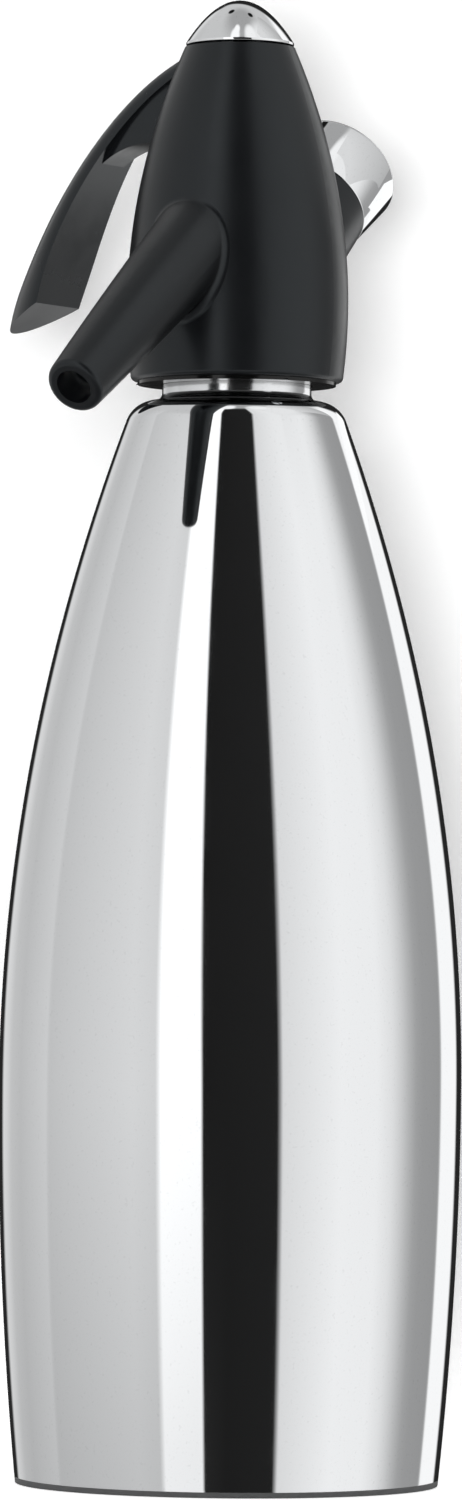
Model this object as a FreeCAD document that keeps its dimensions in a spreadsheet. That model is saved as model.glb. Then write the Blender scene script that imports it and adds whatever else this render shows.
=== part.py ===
import FreeCAD, Part
import math
import os
import re

import Sketcher
from FreeCAD import Placement, Rotation, Vector

# A soda siphon: a pressure bottle of polished steel with a moulded head that carries the
# spout, the hand lever, the pouring valve and the screw-capped inlet for a gas charger.
# Millimetres and degrees. +Z is up and the bottle stands on the XY plane, centred on Z.
# The spout points along -Y, the lever along -X and the gas inlet along +Y, rising.

SIZES = [
    # bottle
    ("bottle_radius", 50.0, "widest radius of the bottle"),
    ("bottle_widest_z", 86.0, "height of the widest point"),
    ("base_radius", 45.65, "radius at the floor"),
    ("shoulder_z", 234.0, "top of the shoulder"),
    ("shoulder_corner", 22.25, "radius where side and shoulder would meet unrounded"),
    ("shoulder_round", 6.5, "rounding of the shoulder"),
    ("shell_wall", 0.8, "sheet of the bottle"),
    ("rim_width", 3.2, "turned-in rim that the bottle stands on"),
    ("pan_wall", 0.9, "sheet of the base pan"),
    ("pan_rise", 5.0, "rise of the base pan's middle"),
    # neck
    ("neck_radius", 16.2, "outside of the neck"),
    ("neck_height", 20.0, "rise of the neck over the shoulder"),
    ("neck_wall", 2.0, "wall of the neck"),
    ("neck_flare", 1.1, "flare of the neck's foot on the shoulder"),
    ("neck_flange", 1.5, "width of the brazed flange under the shoulder"),
    ("flange_sheet", 1.0, "thickness of that flange"),
    ("mouth_seat_width", 1.0, "width of the recess in the mouth for the filling tube"),
    ("mouth_seat_depth", 1.2, "depth of that recess"),
    ("thread_depth", 0.55, "depth of the neck thread"),
    ("thread_pitch", 2.4, "pitch of the neck thread"),
    ("thread_rise", 6.5, "lowest thread ridge over the shoulder"),
    ("thread_bevel", 0.5, "bevel at the end of a thread"),
    # filling tube
    ("fill_gap", 0.5, "room between the filling tube and the neck"),
    ("fill_wall", 1.1, "wall of the filling tube"),
    ("fill_length", 49.0, "length of the filling tube"),
    # head housing
    ("head_widest_rise", 16.7, "widest level of the head over its lower edge"),
    ("head_height", 72.6, "height of the head"),
    ("head_top_radius", 11.95, "radius at the upper edge"),
    ("head_foot_round", 1.1, "rounding of the lower edge"),
    ("head_wall", 2.4, "wall of the head"),
    ("foot_wall", 5.2, "from the bore in the foot to the head's widest radius"),
    ("ledge_width", 1.8, "ledge over the valve body's disc"),
    ("ledge_height", 2.0, "height of the ledge"),
    ("head_roof", 2.7, "roof of the head"),
    ("top_land", 2.65, "width of the head's rim round the opening under the dome"),
    # thread collar and its screws
    ("collar_rise", 3.5, "underside of the collar's flange over the shoulder"),
    ("collar_flange_height", 0.8, "height of the collar's flange"),
    ("collar_wall", 1.6, "wall of the collar behind its thread"),
    ("collar_flange_width", 2.7, "width of the collar's flange past the foot's bore"),
    ("thread_gap", 0.25, "radial room between neck and collar"),
    ("fit_gap", 0.2, "room round a piece that slips into another"),
    ("screw_inset", 1.6, "collar screws, outside the foot's bore"),
    ("screw_radius", 0.9, "collar screw"),
    ("screw_head_radius", 1.5, "head of the collar screw"),
    ("screw_length", 7.0, "length of the collar screw"),
    ("slot_size", 0.4, "width and depth of a driver slot"),
    ("gasket_height", 2.0, "gasket on the mouth of the neck"),
    ("gasket_inset", 0.3, "gasket's bore, outside the filling tube's"),
    # valve body
    ("disc_height", 4.0, "disc of the valve body"),
    ("drum_radius", 13.0, "drum of the valve body"),
    ("drum_height", 14.0, "top of the drum over the disc's underside"),
    ("column_wall", 2.4, "wall of the column round the gland"),
    ("gland_height", 4.4, "height of the gland nut"),
    ("stem_reach", 2.5, "bare stem between gland and button"),
    ("stub_wall", 1.4, "wall of the stub that reaches into the neck"),
    ("stub_depth", 6.0, "reach of the stub"),
    ("bush_wall", 2.0, "wall of the bush that holds the riser"),
    ("bush_top", 5.5, "top of the bush over the disc's underside"),
    ("bush_web", 1.0, "web of the bush under the spring"),
    ("chamber_radius", 4.6, "chamber of the valve spring"),
    ("seat_gap", 0.9, "room round the stem in the valve seat"),
    ("seat_thickness", 1.2, "web of the valve seat"),
    ("upper_step", 1.0, "chamber over the seat, wider than the seat's bore"),
    ("stem_seal_height", 2.0, "height of the stem seal"),
    ("gland_step", 1.0, "gland, wider than that chamber"),
    # riser
    ("riser_radius", 4.0, "outside of the riser tube"),
    ("riser_wall", 1.0, "wall of the riser tube"),
    ("riser_foot_z", 9.0, "lower end of the riser"),
    ("ring_height", 1.6, "small sealing rings"),
    ("ring_width", 1.2, "section of the small sealing rings"),
    # valve stem
    ("stem_radius", 1.5, "stem of the valve"),
    ("stem_gap", 0.06, "running room of the stem"),
    ("plug_gap", 0.5, "room round the plug in the chamber"),
    ("plug_height", 1.5, "height of the plug"),
    ("valve_seal_height", 1.2, "rubber face of the plug"),
    ("stem_tail", 3.8, "tail of the stem below the plug"),
    ("button_radius", 3.2, "button on the stem"),
    ("button_height", 3.7, "height of the button"),
    ("button_drop", 5.8, "top of the button below the lever pin"),
    ("button_socket", 2.0, "depth of the stem in the button"),
    ("button_bevel", 0.4, "bevel of the button"),
    ("spring_wire", 0.7, "wire of the valve spring"),
    ("spring_turns", 4.0, "turns of the valve spring"),
    ("spring_gap", 0.4, "room between spring and chamber"),
    ("spring_play", 0.05, "room at each end of the valve spring"),
    # spout
    ("spout_angle", 35.0, "slope of the spout below level"),
    ("spout_drop", 0.5, "where its axis meets the bottle's, below the stem seal"),
    ("spout_length", 82.6, "distance from there to the outlet"),
    ("spout_tip_radius", 6.2, "radius at the outlet"),
    ("spout_belly_radius", 8.55, "pull of its outline halfway"),
    ("spout_root_radius", 9.8, "radius at its inner end"),
    ("spout_step", 0.5, "bore at the outlet, wider than the tube inside the spout"),
    ("spout_mouth", 8.0, "depth of that bore"),
    ("spout_round", 1.2, "rounding of the outlet's edge"),
    ("spout_blend", 2.0, "blend between spout and head"),
    ("spout_passage", 2.4, "passage from the valve to the spout tube"),
    ("spout_tube_radius", 3.4, "tube inside the spout"),
    ("spout_tube_wall", 0.8, "wall of that tube"),
    ("spout_arm_wall", 0.8, "arm of the valve body behind its sealing ring"),
    ("spout_arm_end", 18.0, "end of that arm from the axis"),
    ("spout_socket", 9.0, "depth of the tube in the arm"),
    # gas inlet
    ("inlet_angle", 39.2, "slope of the inlet above level"),
    ("inlet_drop", 3.2, "where its axis meets the bottle's, below the valve body's floor"),
    ("boss_end", 41.5, "end of the inlet boss from the axis"),
    ("boss_radius", 12.2, "radius of the boss at its end"),
    ("boss_root_radius", 13.6, "radius of the boss at the bottle's axis"),
    ("boss_blend", 1.5, "blend between boss and head"),
    ("arm_start", 14.5, "start of the valve body's inlet arm"),
    ("arm_end", 22.0, "end of that arm"),
    ("arm_wall", 2.0, "wall of that arm"),
    ("shank_radius", 5.0, "shank of the nipple"),
    ("nipple_radius", 8.2, "body of the nipple"),
    ("nipple_thread_radius", 9.6, "thread of the nipple"),
    ("nipple_length", 10.8, "threaded length over the boss"),
    ("nipple_thread_depth", 0.4, "depth of the nipple's thread"),
    ("nipple_pitch", 1.5, "pitch of the nipple's thread"),
    ("nipple_land", 1.0, "plain length before and after that thread"),
    ("charger_bore", 4.6, "socket for the charger's neck"),
    ("charger_depth", 8.8, "depth of that socket"),
    ("gas_bore", 1.2, "gas channel"),
    ("sleeve_radius", 2.0, "sleeve of the check valve"),
    ("sleeve_length", 6.0, "length of that sleeve"),
    ("sleeve_slit", 0.5, "bore of that sleeve"),
    ("pin_radius", 1.6, "body of the piercing pin"),
    ("pin_seat", 4.0, "depth of the pin in the nipple"),
    ("pin_rise", 3.4, "rise of its point over the socket's floor"),
    ("washer_height", 1.8, "charger washer"),
    # inlet cap
    ("cap_seal_height", 2.2, "seal in the cap"),
    ("cap_end_radius", 13.8, "radius at the outer end"),
    ("cap_wall", 1.4, "end wall of the cap"),
    ("cap_round", 1.0, "rounding of the outer end"),
    ("cap_seat", 0.3, "gap between cap and boss"),
    ("cap_clearance", 0.3, "room between the cap and the nipple"),
    # relief valve
    ("relief_bore", 1.4, "bore to the relief disc"),
    ("relief_radius", 2.2, "relief disc and nut"),
    ("relief_seat", 6.0, "height of the disc over the valve body's floor"),
    ("relief_disc_height", 0.3, "burst disc"),
    ("relief_nut_height", 6.5, "nut over the disc"),
    ("relief_vent", 1.0, "vent of the nut"),
    # lever
    ("pivot_x", 8.5, "lever pin, beyond the axis"),
    ("pivot_drop", 11.9, "lever pin below the head's upper edge"),
    ("pivot_radius", 1.5, "lever pin"),
    ("pivot_gap", 0.06, "running room of the pin"),
    ("pin_reach", 4.9, "reach of the lever pin in each ear"),
    ("hub_radius", 3.9, "hub of the lever"),
    ("web_width", 9.0, "web of the lever"),
    ("nose_radius", 3.0, "nose that presses the button"),
    ("nose_gap", 0.3, "room between nose and button at rest"),
    ("slot_gap", 0.7, "room beside the lever in the head's slot"),
    ("slot_height", 24.8, "height of the slot"),
    ("slot_roof", 1.6, "head over the slot"),
    ("ear_width", 8.0, "ears that hold the lever pin"),
    ("ear_gap", 0.6, "room between ears and hub"),
    ("bar_root_x", 11.5, "start of the bar's inner face, from the axis"),
    ("bar_root_drop", 5.44, "drop of that below the head's upper edge"),
    ("bar_root_slope", 23.8, "slope of the bar there"),
    ("bar_root_pull", 19.2, "reach of that slope"),
    ("bar_lip_x", 45.8, "end of the bar's inner face, from the axis"),
    ("bar_lip_drop", 54.5, "drop of that"),
    ("bar_lip_slope", 73.3, "slope of the bar there"),
    ("bar_lip_pull", 19.2, "reach of that slope"),
    ("bar_root_width", 12.4, "width of the bar at the head"),
    ("bar_waist_width", 6.0, "pull of its width a third of the way down"),
    ("bar_belly_width", 23.5, "pull of its width two thirds of the way down"),
    ("bar_lip_width", 18.0, "width at its lower end"),
    ("bar_root_thickness", 3.7, "thickness at the head"),
    ("bar_belly_thickness", 4.4, "pull of its thickness halfway down"),
    ("bar_lip_thickness", 9.6, "thickness at the lower end"),
    ("bar_root_fullness", 0.7, "fullness of its crown at the head"),
    ("bar_lip_fullness", 0.4, "fullness of its crown at the lower end"),
    ("bar_facet_slope", 27.0, "slope of the facet that ends the bar"),
    ("web_foot_x", 31.9, "outer foot of the web, from the axis"),
    ("web_foot_drop", 24.2, "drop of that below the head's upper edge"),
    ("web_arch", 1.6, "rise of the arch under the web"),
    ("web_wall_x", 17.0, "inner foot of the web, from the axis"),
    ("web_wall_drop", 20.3, "drop of that"),
    # dome
    ("dome_gap", 0.3, "gap under the dome"),
    ("dome_inset", 0.25, "dome's rim, inside the head's upper edge"),
    ("dome_rim", 0.5, "height of the rim"),
    ("dome_height", 9.5, "rise of the dome over its rim"),
    ("plug_depth", 3.0, "plug of the dome in the head"),
    ("plug_wall", 2.0, "wall of the plug"),
]

doc = FreeCAD.newDocument("soda_siphon")
sizes = doc.addObject("Spreadsheet::Sheet", "sizes")
for row, (name, value, note) in enumerate(SIZES, start=1):
    sizes.set("A%d" % row, name)
    sizes.set("B%d" % row, str(value))
    sizes.set("C%d" % row, note)
    sizes.setAlias("B%d" % row, name)
doc.recompute()

TURN = 360.0
FUNCTIONS = ("sin", "cos", "tan")
UPRIGHT = ("0", "0")
OVERRUN = 1

# levels, from the shoulder up
NECK_TOP = "(shoulder_z + neck_height)"
THREAD_START = "(shoulder_z + thread_rise)"
COLLAR_FOOT = "(shoulder_z + collar_rise)"
HEAD_FOOT = "(%s + collar_flange_height)" % COLLAR_FOOT
HEAD_WIDEST = "(%s + head_widest_rise)" % HEAD_FOOT
HEAD_TOP = "(%s + head_height)" % HEAD_FOOT
ROOF = "(%s - head_roof)" % HEAD_TOP
DOME_FOOT = "(%s + dome_gap)" % HEAD_TOP
FLOOR = "(%s + gasket_height)" % NECK_TOP
SEAT = "(%s + drum_height)" % FLOOR
UPPER = "(%s + seat_thickness)" % SEAT
PIVOT = "(%s - pivot_drop)" % HEAD_TOP
BUTTON_TOP = "(%s - button_drop)" % PIVOT
BUTTON_FOOT = "(%s - button_height)" % BUTTON_TOP
COLUMN_TOP = "(%s - stem_reach)" % BUTTON_FOOT
GLAND = "(%s - gland_height)" % COLUMN_TOP
STEM_SEAL = "(%s - stem_seal_height)" % GLAND

# radii, from the neck and the stem outwards
NECK_BORE = "(neck_radius - neck_wall)"
FILL_RADIUS = "(%s - fill_gap)" % NECK_BORE
FILL_BORE = "(%s - fill_wall)" % FILL_RADIUS
MOUTH_SEAT = "(%s + mouth_seat_width)" % NECK_BORE
COLLAR_BORE = "(neck_radius + thread_gap)"
COLLAR_OUTER = "(%s + thread_depth + collar_wall)" % COLLAR_BORE
FOOT_BORE = "(%s + fit_gap)" % COLLAR_OUTER
FLANGE_RADIUS = "(%s + collar_flange_width)" % FOOT_BORE
SCREW_CIRCLE = "(%s + screw_inset)" % FOOT_BORE
HEAD_RADIUS = "(%s + foot_wall)" % FOOT_BORE
TOP_BORE = "(head_top_radius - top_land)"
DOME_RADIUS = "(head_top_radius - dome_inset)"
BUSH_RADIUS = "(riser_radius + bush_wall)"
STUB_RADIUS = "(%s + stub_wall)" % BUSH_RADIUS
SEAT_BORE = "(stem_radius + seat_gap)"
UPPER_RADIUS = "(%s + upper_step)" % SEAT_BORE
GLAND_RADIUS = "(%s + gland_step)" % UPPER_RADIUS
COLUMN_RADIUS = "(%s + column_wall)" % GLAND_RADIUS
PLUG_RADIUS = "(chamber_radius - plug_gap)"
SPOUT_BORE = "(spout_tube_radius + spout_step)"
SPOUT_GROOVE = "(spout_tube_radius + ring_width)"
ARM_RADIUS = "(shank_radius + arm_wall)"

# the axes of the spout and the inlet: where each meets the bottle's axis, and its turn
SPOUT = ("(%s - spout_drop)" % STEM_SEAL, "90 + spout_angle")
INLET = ("(%s - inlet_drop)" % FLOOR, "inlet_angle - 90")
kept = []


def linked(text):
    """The text of an expression with each size's name led by the sheet's."""
    def lead(word):
        name = word.group(0)
        return name if name in FUNCTIONS else "sizes." + name

    return re.sub(r"[a-z]\w*", lead, text)


def number(text):
    """What an expression comes to now."""
    return float(sizes.evalExpression(linked(text)))


def keep(piece, label):
    """Name a finished piece and put it on the list of what is written out."""
    piece.Label = label
    kept.append(piece)
    return piece


def place(piece, frame, start="0"):
    """Set a piece on the bottle's axis, or along the spout's or the inlet's axis, so that
    its own origin lies a distance from the start of that axis."""
    cross, turn = frame
    piece.Placement = Placement(Vector(0, 0, 0), Rotation(Vector(1, 0, 0), number(turn)))
    piece.setExpression(".Placement.Rotation.Angle", linked(turn))
    piece.setExpression(".Placement.Base.y", linked("-(%s) * sin(%s)" % (start, turn)))
    piece.setExpression(".Placement.Base.z", linked("%s + (%s) * cos(%s)" % (cross, start, turn)))
    return piece


def pin_point(sketch, side, direction, text):
    """Hold the start of a side at a distance from the sketch's origin that a size gives."""
    if text == "0":
        axis = -2 if direction == "DistanceX" else -1
        sketch.addConstraint(Sketcher.Constraint("PointOnObject", side, 1, axis))
        return
    rule = Sketcher.Constraint(direction, -1, 1, side, 1, number(text))
    index = sketch.addConstraint(rule)
    sketch.setExpression("Constraints[%d]" % index, linked(text))


def outline(body, name, points):
    """A closed sketch on the body's XZ plane, of (distance across, height) in sizes' words."""
    plane = [part for part in body.Origin.OriginFeatures if part.Role == "XZ_Plane"][0]
    sketch = body.newObject("Sketcher::SketchObject", name)
    sketch.AttachmentSupport = (plane, [""])
    sketch.MapMode = "FlatFace"
    corners = [Vector(number(across), number(height), 0) for across, height in points]
    count = len(corners)
    for side in range(count):
        sketch.addGeometry(Part.LineSegment(corners[side], corners[(side + 1) % count]), False)
    for side in range(count):
        meet = Sketcher.Constraint("Coincident", side, 2, (side + 1) % count, 1)
        sketch.addConstraint(meet)
    for side, (across, height) in enumerate(points):
        pin_point(sketch, side, "DistanceX", across)
        pin_point(sketch, side, "DistanceY", height)
    return sketch


def lathe(label, points, frame=UPRIGHT):
    """A body turned on a lathe: its outline of (radius, height) spun round its own axis."""
    body = doc.addObject("PartDesign::Body", label)
    sketch = outline(body, label + "_outline", points)
    spin = body.newObject("PartDesign::Revolution", label + "_turned")
    spin.Profile = sketch
    spin.ReferenceAxis = (sketch, ["V_Axis"])
    spin.Angle = TURN
    body.Tip = spin
    return place(body, frame)


def turned(label, points, frame=UPRIGHT):
    """A turned piece that is complete as it leaves the lathe."""
    return keep(lathe(label, points, frame), label)


def ring(label, inner, outer, low, high, frame=UPRIGHT):
    """A plain ring or bush between two radii and two heights."""
    return turned(label, [(inner, low), (outer, low), (outer, high), (inner, high)], frame)


def rod(name, radius, low, high, frame=UPRIGHT):
    """A cylinder between two distances along a frame's axis, for a boolean."""
    cylinder = doc.addObject("Part::Cylinder", name)
    cylinder.setExpression("Radius", linked(radius))
    cylinder.setExpression("Height", linked("%s - (%s)" % (high, low)))
    return place(cylinder, frame, low)


def beside(piece, across, along):
    """Move an upright piece off the axis."""
    piece.setExpression(".Placement.Base.x", linked(across))
    piece.setExpression(".Placement.Base.y", linked(along))
    return piece


def fused(name, pieces):
    """Several solids as one."""
    union = doc.addObject("Part::MultiFuse", name)
    union.Shapes = pieces
    union.Refine = True
    return union


def cut(name, base, tool):
    """One solid less another."""
    rest = doc.addObject("Part::Cut", name)
    rest.Base = base
    rest.Tool = tool
    rest.Refine = True
    return rest


def formed(label, shape, lift=0.0):
    """A piece whose curved shape is worked out from the sheet, set at its height."""
    piece = doc.addObject("Part::Feature", label)
    piece.Shape = shape
    piece.Placement = Placement(Vector(0, 0, lift), Rotation())
    return keep(piece, label)


# ---- curves shared by the bottle and the head ----

def bow(radius, widest_z, end_radius, end_z, low_z, high_z, inset):
    """A parabola in the XZ plane that is widest at widest_z and passes (end_radius, end_z),
    moved in by inset and drawn from low_z to high_z."""
    bend = (radius - end_radius) / (end_z - widest_z) ** 2
    wide = radius - inset

    def at(level):
        return wide - bend * (level - widest_z) ** 2

    pull = wide - bend * (low_z - widest_z) * (high_z - widest_z)
    curve = Part.BezierCurve()
    curve.setPoles([
        Vector(at(low_z), 0, low_z),
        Vector(pull, 0, (low_z + high_z) / 2),
        Vector(at(high_z), 0, high_z),
    ])
    return curve.toShape()


def ends(edge):
    return edge.valueAt(edge.FirstParameter), edge.valueAt(edge.LastParameter)


def spun(edges):
    """The solid that a closed chain of edges in the XZ plane sweeps round the Z axis."""
    face = Part.Face(Part.Wire(edges))
    solid = face.revolve(Vector(0, 0, 0), Vector(0, 0, 1), TURN)
    return Part.makeSolid(solid) if solid.ShapeType == "Shell" else solid


def line(start, end):
    return Part.LineSegment(start, end).toShape()


def circle_edges(shape, height, radius):
    """The shape's round edges about the Z axis at a height and of a radius."""
    found = []
    for edge in shape.Edges:
        curve = edge.Curve
        if not isinstance(curve, Part.Circle):
            continue
        centre = curve.Center
        level = abs(centre.z - height) < 0.01
        if level and math.hypot(centre.x, centre.y) < 0.01 and abs(curve.Radius - radius) < 0.01:
            found.append(edge)
    return found


# ---- bottle ----

def bottle_side(inset, floor_z):
    """The bottle's filled form, moved in by inset, its foot at floor_z."""
    s = sizes
    roof_z = s.shoulder_z - inset
    lower = bow(s.bottle_radius, s.bottle_widest_z, s.base_radius, 0.0,
                floor_z, s.bottle_widest_z, inset)
    upper = bow(s.bottle_radius, s.bottle_widest_z, s.shoulder_corner, s.shoulder_z,
                s.bottle_widest_z, roof_z, inset)
    foot = ends(lower)[0]
    corner = ends(upper)[1]
    solid = spun([
        line(Vector(0, 0, floor_z), foot),
        lower,
        upper,
        line(corner, Vector(0, 0, roof_z)),
        line(Vector(0, 0, roof_z), Vector(0, 0, floor_z)),
    ])
    edges = circle_edges(solid, roof_z, corner.x)
    return solid.makeFillet(s.shoulder_round - inset, edges)


def bottle_shell():
    """Drawn sheet: the outer form less the inner one, with a hole for the neck and one in
    the turned-in rim."""
    s = sizes
    shell = bottle_side(0.0, 0.0).cut(bottle_side(s.shell_wall, s.shell_wall))
    hole = Part.makeCylinder(s.neck_radius, s.shell_wall * 4,
                             Vector(0, 0, s.shoulder_z - s.shell_wall * 2))
    rim = Part.makeCylinder(s.base_radius - s.rim_width, s.shell_wall * 2,
                            Vector(0, 0, -s.shell_wall / 2))
    return shell.cut(hole).cut(rim)


formed("bottle_shell", bottle_shell())

PAN_EDGE = "(base_radius - shell_wall - fit_gap)"
turned("base_pan", [
    ("0", "shell_wall + pan_rise"),
    ("base_radius * 0.45", "shell_wall + pan_rise * 0.85"),
    ("base_radius * 0.72", "shell_wall + pan_rise * 0.45"),
    ("base_radius - rim_width - 1", "shell_wall"),
    (PAN_EDGE, "shell_wall"),
    (PAN_EDGE, "shell_wall + pan_wall"),
    ("base_radius - rim_width - 1", "shell_wall + pan_wall"),
    ("base_radius * 0.72", "shell_wall + pan_wall + pan_rise * 0.45"),
    ("base_radius * 0.45", "shell_wall + pan_wall + pan_rise * 0.85"),
    ("0", "shell_wall + pan_wall + pan_rise"),
])


def ridges(crest, root, start, end, pitch):
    """Outline points of a ring-shaped thread, upwards, from a crest radius to a root radius,
    with as many ridges as there is room for between two heights."""
    points = []
    for turn in range(int((number(end) - number(start)) / number(pitch))):
        foot = "%s + %s * %d" % (start, pitch, turn)
        points.append((crest, foot))
        points.append((root, "%s + %s * 0.3" % (foot, pitch)))
        points.append((root, "%s + %s * 0.5" % (foot, pitch)))
        points.append((crest, "%s + %s * 0.8" % (foot, pitch)))
    return points


UNDER_SHOULDER = "(shoulder_z - shell_wall)"
THREAD_END = "(%s - thread_bevel)" % NECK_TOP
turned("neck_ring", [
    (NECK_BORE, UNDER_SHOULDER + " - flange_sheet"),
    ("neck_radius + neck_flange", UNDER_SHOULDER + " - flange_sheet"),
    ("neck_radius + neck_flange", UNDER_SHOULDER),
    ("neck_radius", UNDER_SHOULDER),
    ("neck_radius", "shoulder_z"),
    ("neck_radius + neck_flare", "shoulder_z"),
    ("neck_radius + neck_flare * 0.35", "shoulder_z + neck_flare * 0.45"),
    ("neck_radius", "shoulder_z + neck_flare * 1.5"),
    *ridges("neck_radius", "neck_radius - thread_depth", THREAD_START, THREAD_END,
            "thread_pitch"),
    ("neck_radius", THREAD_END),
    ("neck_radius - thread_bevel", NECK_TOP),
    (MOUTH_SEAT, NECK_TOP),
    (MOUTH_SEAT, NECK_TOP + " - mouth_seat_depth"),
    (NECK_BORE, NECK_TOP + " - mouth_seat_depth"),
])

turned("filling_tube", [
    (FILL_BORE, NECK_TOP + " - fill_length"),
    (FILL_RADIUS, NECK_TOP + " - fill_length"),
    (FILL_RADIUS, NECK_TOP + " - mouth_seat_depth"),
    (MOUTH_SEAT + " - fit_gap", NECK_TOP + " - mouth_seat_depth"),
    (MOUTH_SEAT + " - fit_gap", NECK_TOP),
    (FILL_BORE, NECK_TOP),
])

# ---- joint of head and bottle ----

ring("head_gasket", FILL_BORE + " + gasket_inset", "neck_radius", NECK_TOP, FLOOR)

SCREWS = 3


def screw_places():
    """Where the collar screws stand, as expressions: evenly round the collar."""
    for step in range(SCREWS):
        turn = 90 + TURN / SCREWS * step
        yield "%s * cos(%d)" % (SCREW_CIRCLE, turn), "%s * sin(%d)" % (SCREW_CIRCLE, turn)


def screw_solids():
    """Countersunk heads and shanks, the heads flush with the collar's underside."""
    solids = []
    for across, along in screw_places():
        head = doc.addObject("Part::Cone", "screw_head")
        head.setExpression("Radius1", linked("screw_head_radius"))
        head.setExpression("Radius2", linked("screw_radius"))
        head.setExpression("Height", linked("screw_head_radius - screw_radius"))
        place(head, UPRIGHT, COLLAR_FOOT)
        solids.append(beside(head, across, along))
        shank = rod("screw_shank", "screw_radius", COLLAR_FOOT,
                    COLLAR_FOOT + " + screw_length")
        solids.append(beside(shank, across, along))
    return solids


def screw_slots():
    """Driver slots across the screw heads."""
    slots = []
    for across, along in screw_places():
        slot = doc.addObject("Part::Box", "screw_slot")
        slot.setExpression("Length", linked("screw_head_radius * 2"))
        slot.setExpression("Width", linked("slot_size"))
        slot.setExpression("Height", linked("slot_size"))
        place(slot, UPRIGHT, COLLAR_FOOT)
        slots.append(beside(slot, across + " - screw_head_radius", along + " - slot_size / 2"))
    return slots


screw_blanks = fused("screw_blanks", screw_solids())
keep(cut("screws_cut", screw_blanks, fused("screw_slots", screw_slots())), "collar_screws")

collar_blank = lathe("collar_blank", [
    (COLLAR_BORE, COLLAR_FOOT),
    (FLANGE_RADIUS, COLLAR_FOOT),
    (FLANGE_RADIUS, HEAD_FOOT),
    (COLLAR_OUTER, HEAD_FOOT),
    (COLLAR_OUTER, FLOOR),
    (COLLAR_BORE, FLOOR),
    *reversed(ridges(COLLAR_BORE, COLLAR_BORE + " + thread_depth", THREAD_START,
                     THREAD_END, "thread_pitch")),
])
keep(cut("collar_cut", collar_blank, screw_blanks), "thread_collar")

# ---- valve body, with its arms to the spout and the gas inlet ----

BUSH_TOP = "(%s + bush_top)" % FLOOR
RELIEF_SEAT = "(%s + relief_seat)" % FLOOR
RELIEF_OFFSET = "((%s + drum_radius) / 2)" % COLUMN_RADIUS
SPOUT_SEAL = "(spout_arm_end - spout_socket * 0.65)"
GAS_TURN = "(arm_start - gas_bore - 0.8)"

valve_blank = lathe("valve_blank", [
    ("0", FLOOR + " - stub_depth"),
    (STUB_RADIUS, FLOOR + " - stub_depth"),
    (STUB_RADIUS, FLOOR),
    (COLLAR_OUTER, FLOOR),
    (COLLAR_OUTER, FLOOR + " + disc_height"),
    ("drum_radius", FLOOR + " + disc_height"),
    ("drum_radius", SEAT),
    (COLUMN_RADIUS, SEAT),
    (COLUMN_RADIUS, COLUMN_TOP),
    ("0", COLUMN_TOP),
])
valve_bores = lathe("valve_bores", [
    ("0", "%s - stub_depth - %d" % (FLOOR, OVERRUN)),
    (BUSH_RADIUS, "%s - stub_depth - %d" % (FLOOR, OVERRUN)),
    (BUSH_RADIUS, BUSH_TOP),
    ("chamber_radius", BUSH_TOP),
    ("chamber_radius", SEAT),
    (SEAT_BORE, SEAT),
    (SEAT_BORE, UPPER),
    (UPPER_RADIUS, UPPER),
    (UPPER_RADIUS, STEM_SEAL),
    (GLAND_RADIUS, STEM_SEAL),
    (GLAND_RADIUS, "%s + %d" % (COLUMN_TOP, OVERRUN)),
    ("0", "%s + %d" % (COLUMN_TOP, OVERRUN)),
])
valve_solid = fused("valve_solid", [
    valve_blank,
    rod("spout_arm", SPOUT_GROOVE + " + spout_arm_wall", "0", "spout_arm_end", SPOUT),
    rod("inlet_arm", ARM_RADIUS, "arm_start", "arm_end", INLET),
])
valve_room = fused("valve_room", [
    valve_bores,
    rod("spout_passage", "spout_passage", "0", "spout_arm_end", SPOUT),
    rod("spout_socket", "spout_tube_radius", "spout_arm_end - spout_socket",
        "spout_arm_end + %d" % OVERRUN, SPOUT),
    rod("spout_groove", SPOUT_GROOVE, SPOUT_SEAL, SPOUT_SEAL + " + ring_height", SPOUT),
    rod("shank_bore", "shank_radius", "arm_start", "arm_end + %d" % OVERRUN, INLET),
    rod("gas_slope", "gas_bore", GAS_TURN, "arm_start + %d" % OVERRUN, INLET),
    beside(rod("gas_drop", "gas_bore", "%s - %d" % (FLOOR, OVERRUN),
               "%s + %s * sin(inlet_angle)" % (INLET[0], GAS_TURN)),
           "0", GAS_TURN + " * cos(inlet_angle)"),
    beside(rod("relief_drill", "relief_bore", "%s - %d" % (FLOOR, OVERRUN), RELIEF_SEAT),
           RELIEF_OFFSET, "0"),
    beside(rod("relief_pocket", "relief_radius", RELIEF_SEAT, "%s + %d" % (SEAT, OVERRUN)),
           RELIEF_OFFSET, "0"),
])
keep(cut("valve_cut", valve_solid, valve_room), "valve_body")

STUB_FOOT = "(%s - stub_depth)" % FLOOR
RISER_TOP = "(%s - bush_web)" % BUSH_TOP
RISER_SEAL = "(%s + ring_height)" % STUB_FOOT
turned("riser_bush", [
    ("riser_radius", STUB_FOOT),
    (BUSH_RADIUS, STUB_FOOT),
    (BUSH_RADIUS, BUSH_TOP),
    (SEAT_BORE, BUSH_TOP),
    (SEAT_BORE, RISER_TOP),
    ("riser_radius", RISER_TOP),
    ("riser_radius", RISER_SEAL + " + ring_height"),
    ("riser_radius + ring_width", RISER_SEAL + " + ring_height"),
    ("riser_radius + ring_width", RISER_SEAL),
    ("riser_radius", RISER_SEAL),
])
ring("riser_seal", "riser_radius", "riser_radius + ring_width", RISER_SEAL,
     RISER_SEAL + " + ring_height")
ring("riser_tube", "riser_radius - riser_wall", "riser_radius", "riser_foot_z", RISER_TOP)

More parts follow.
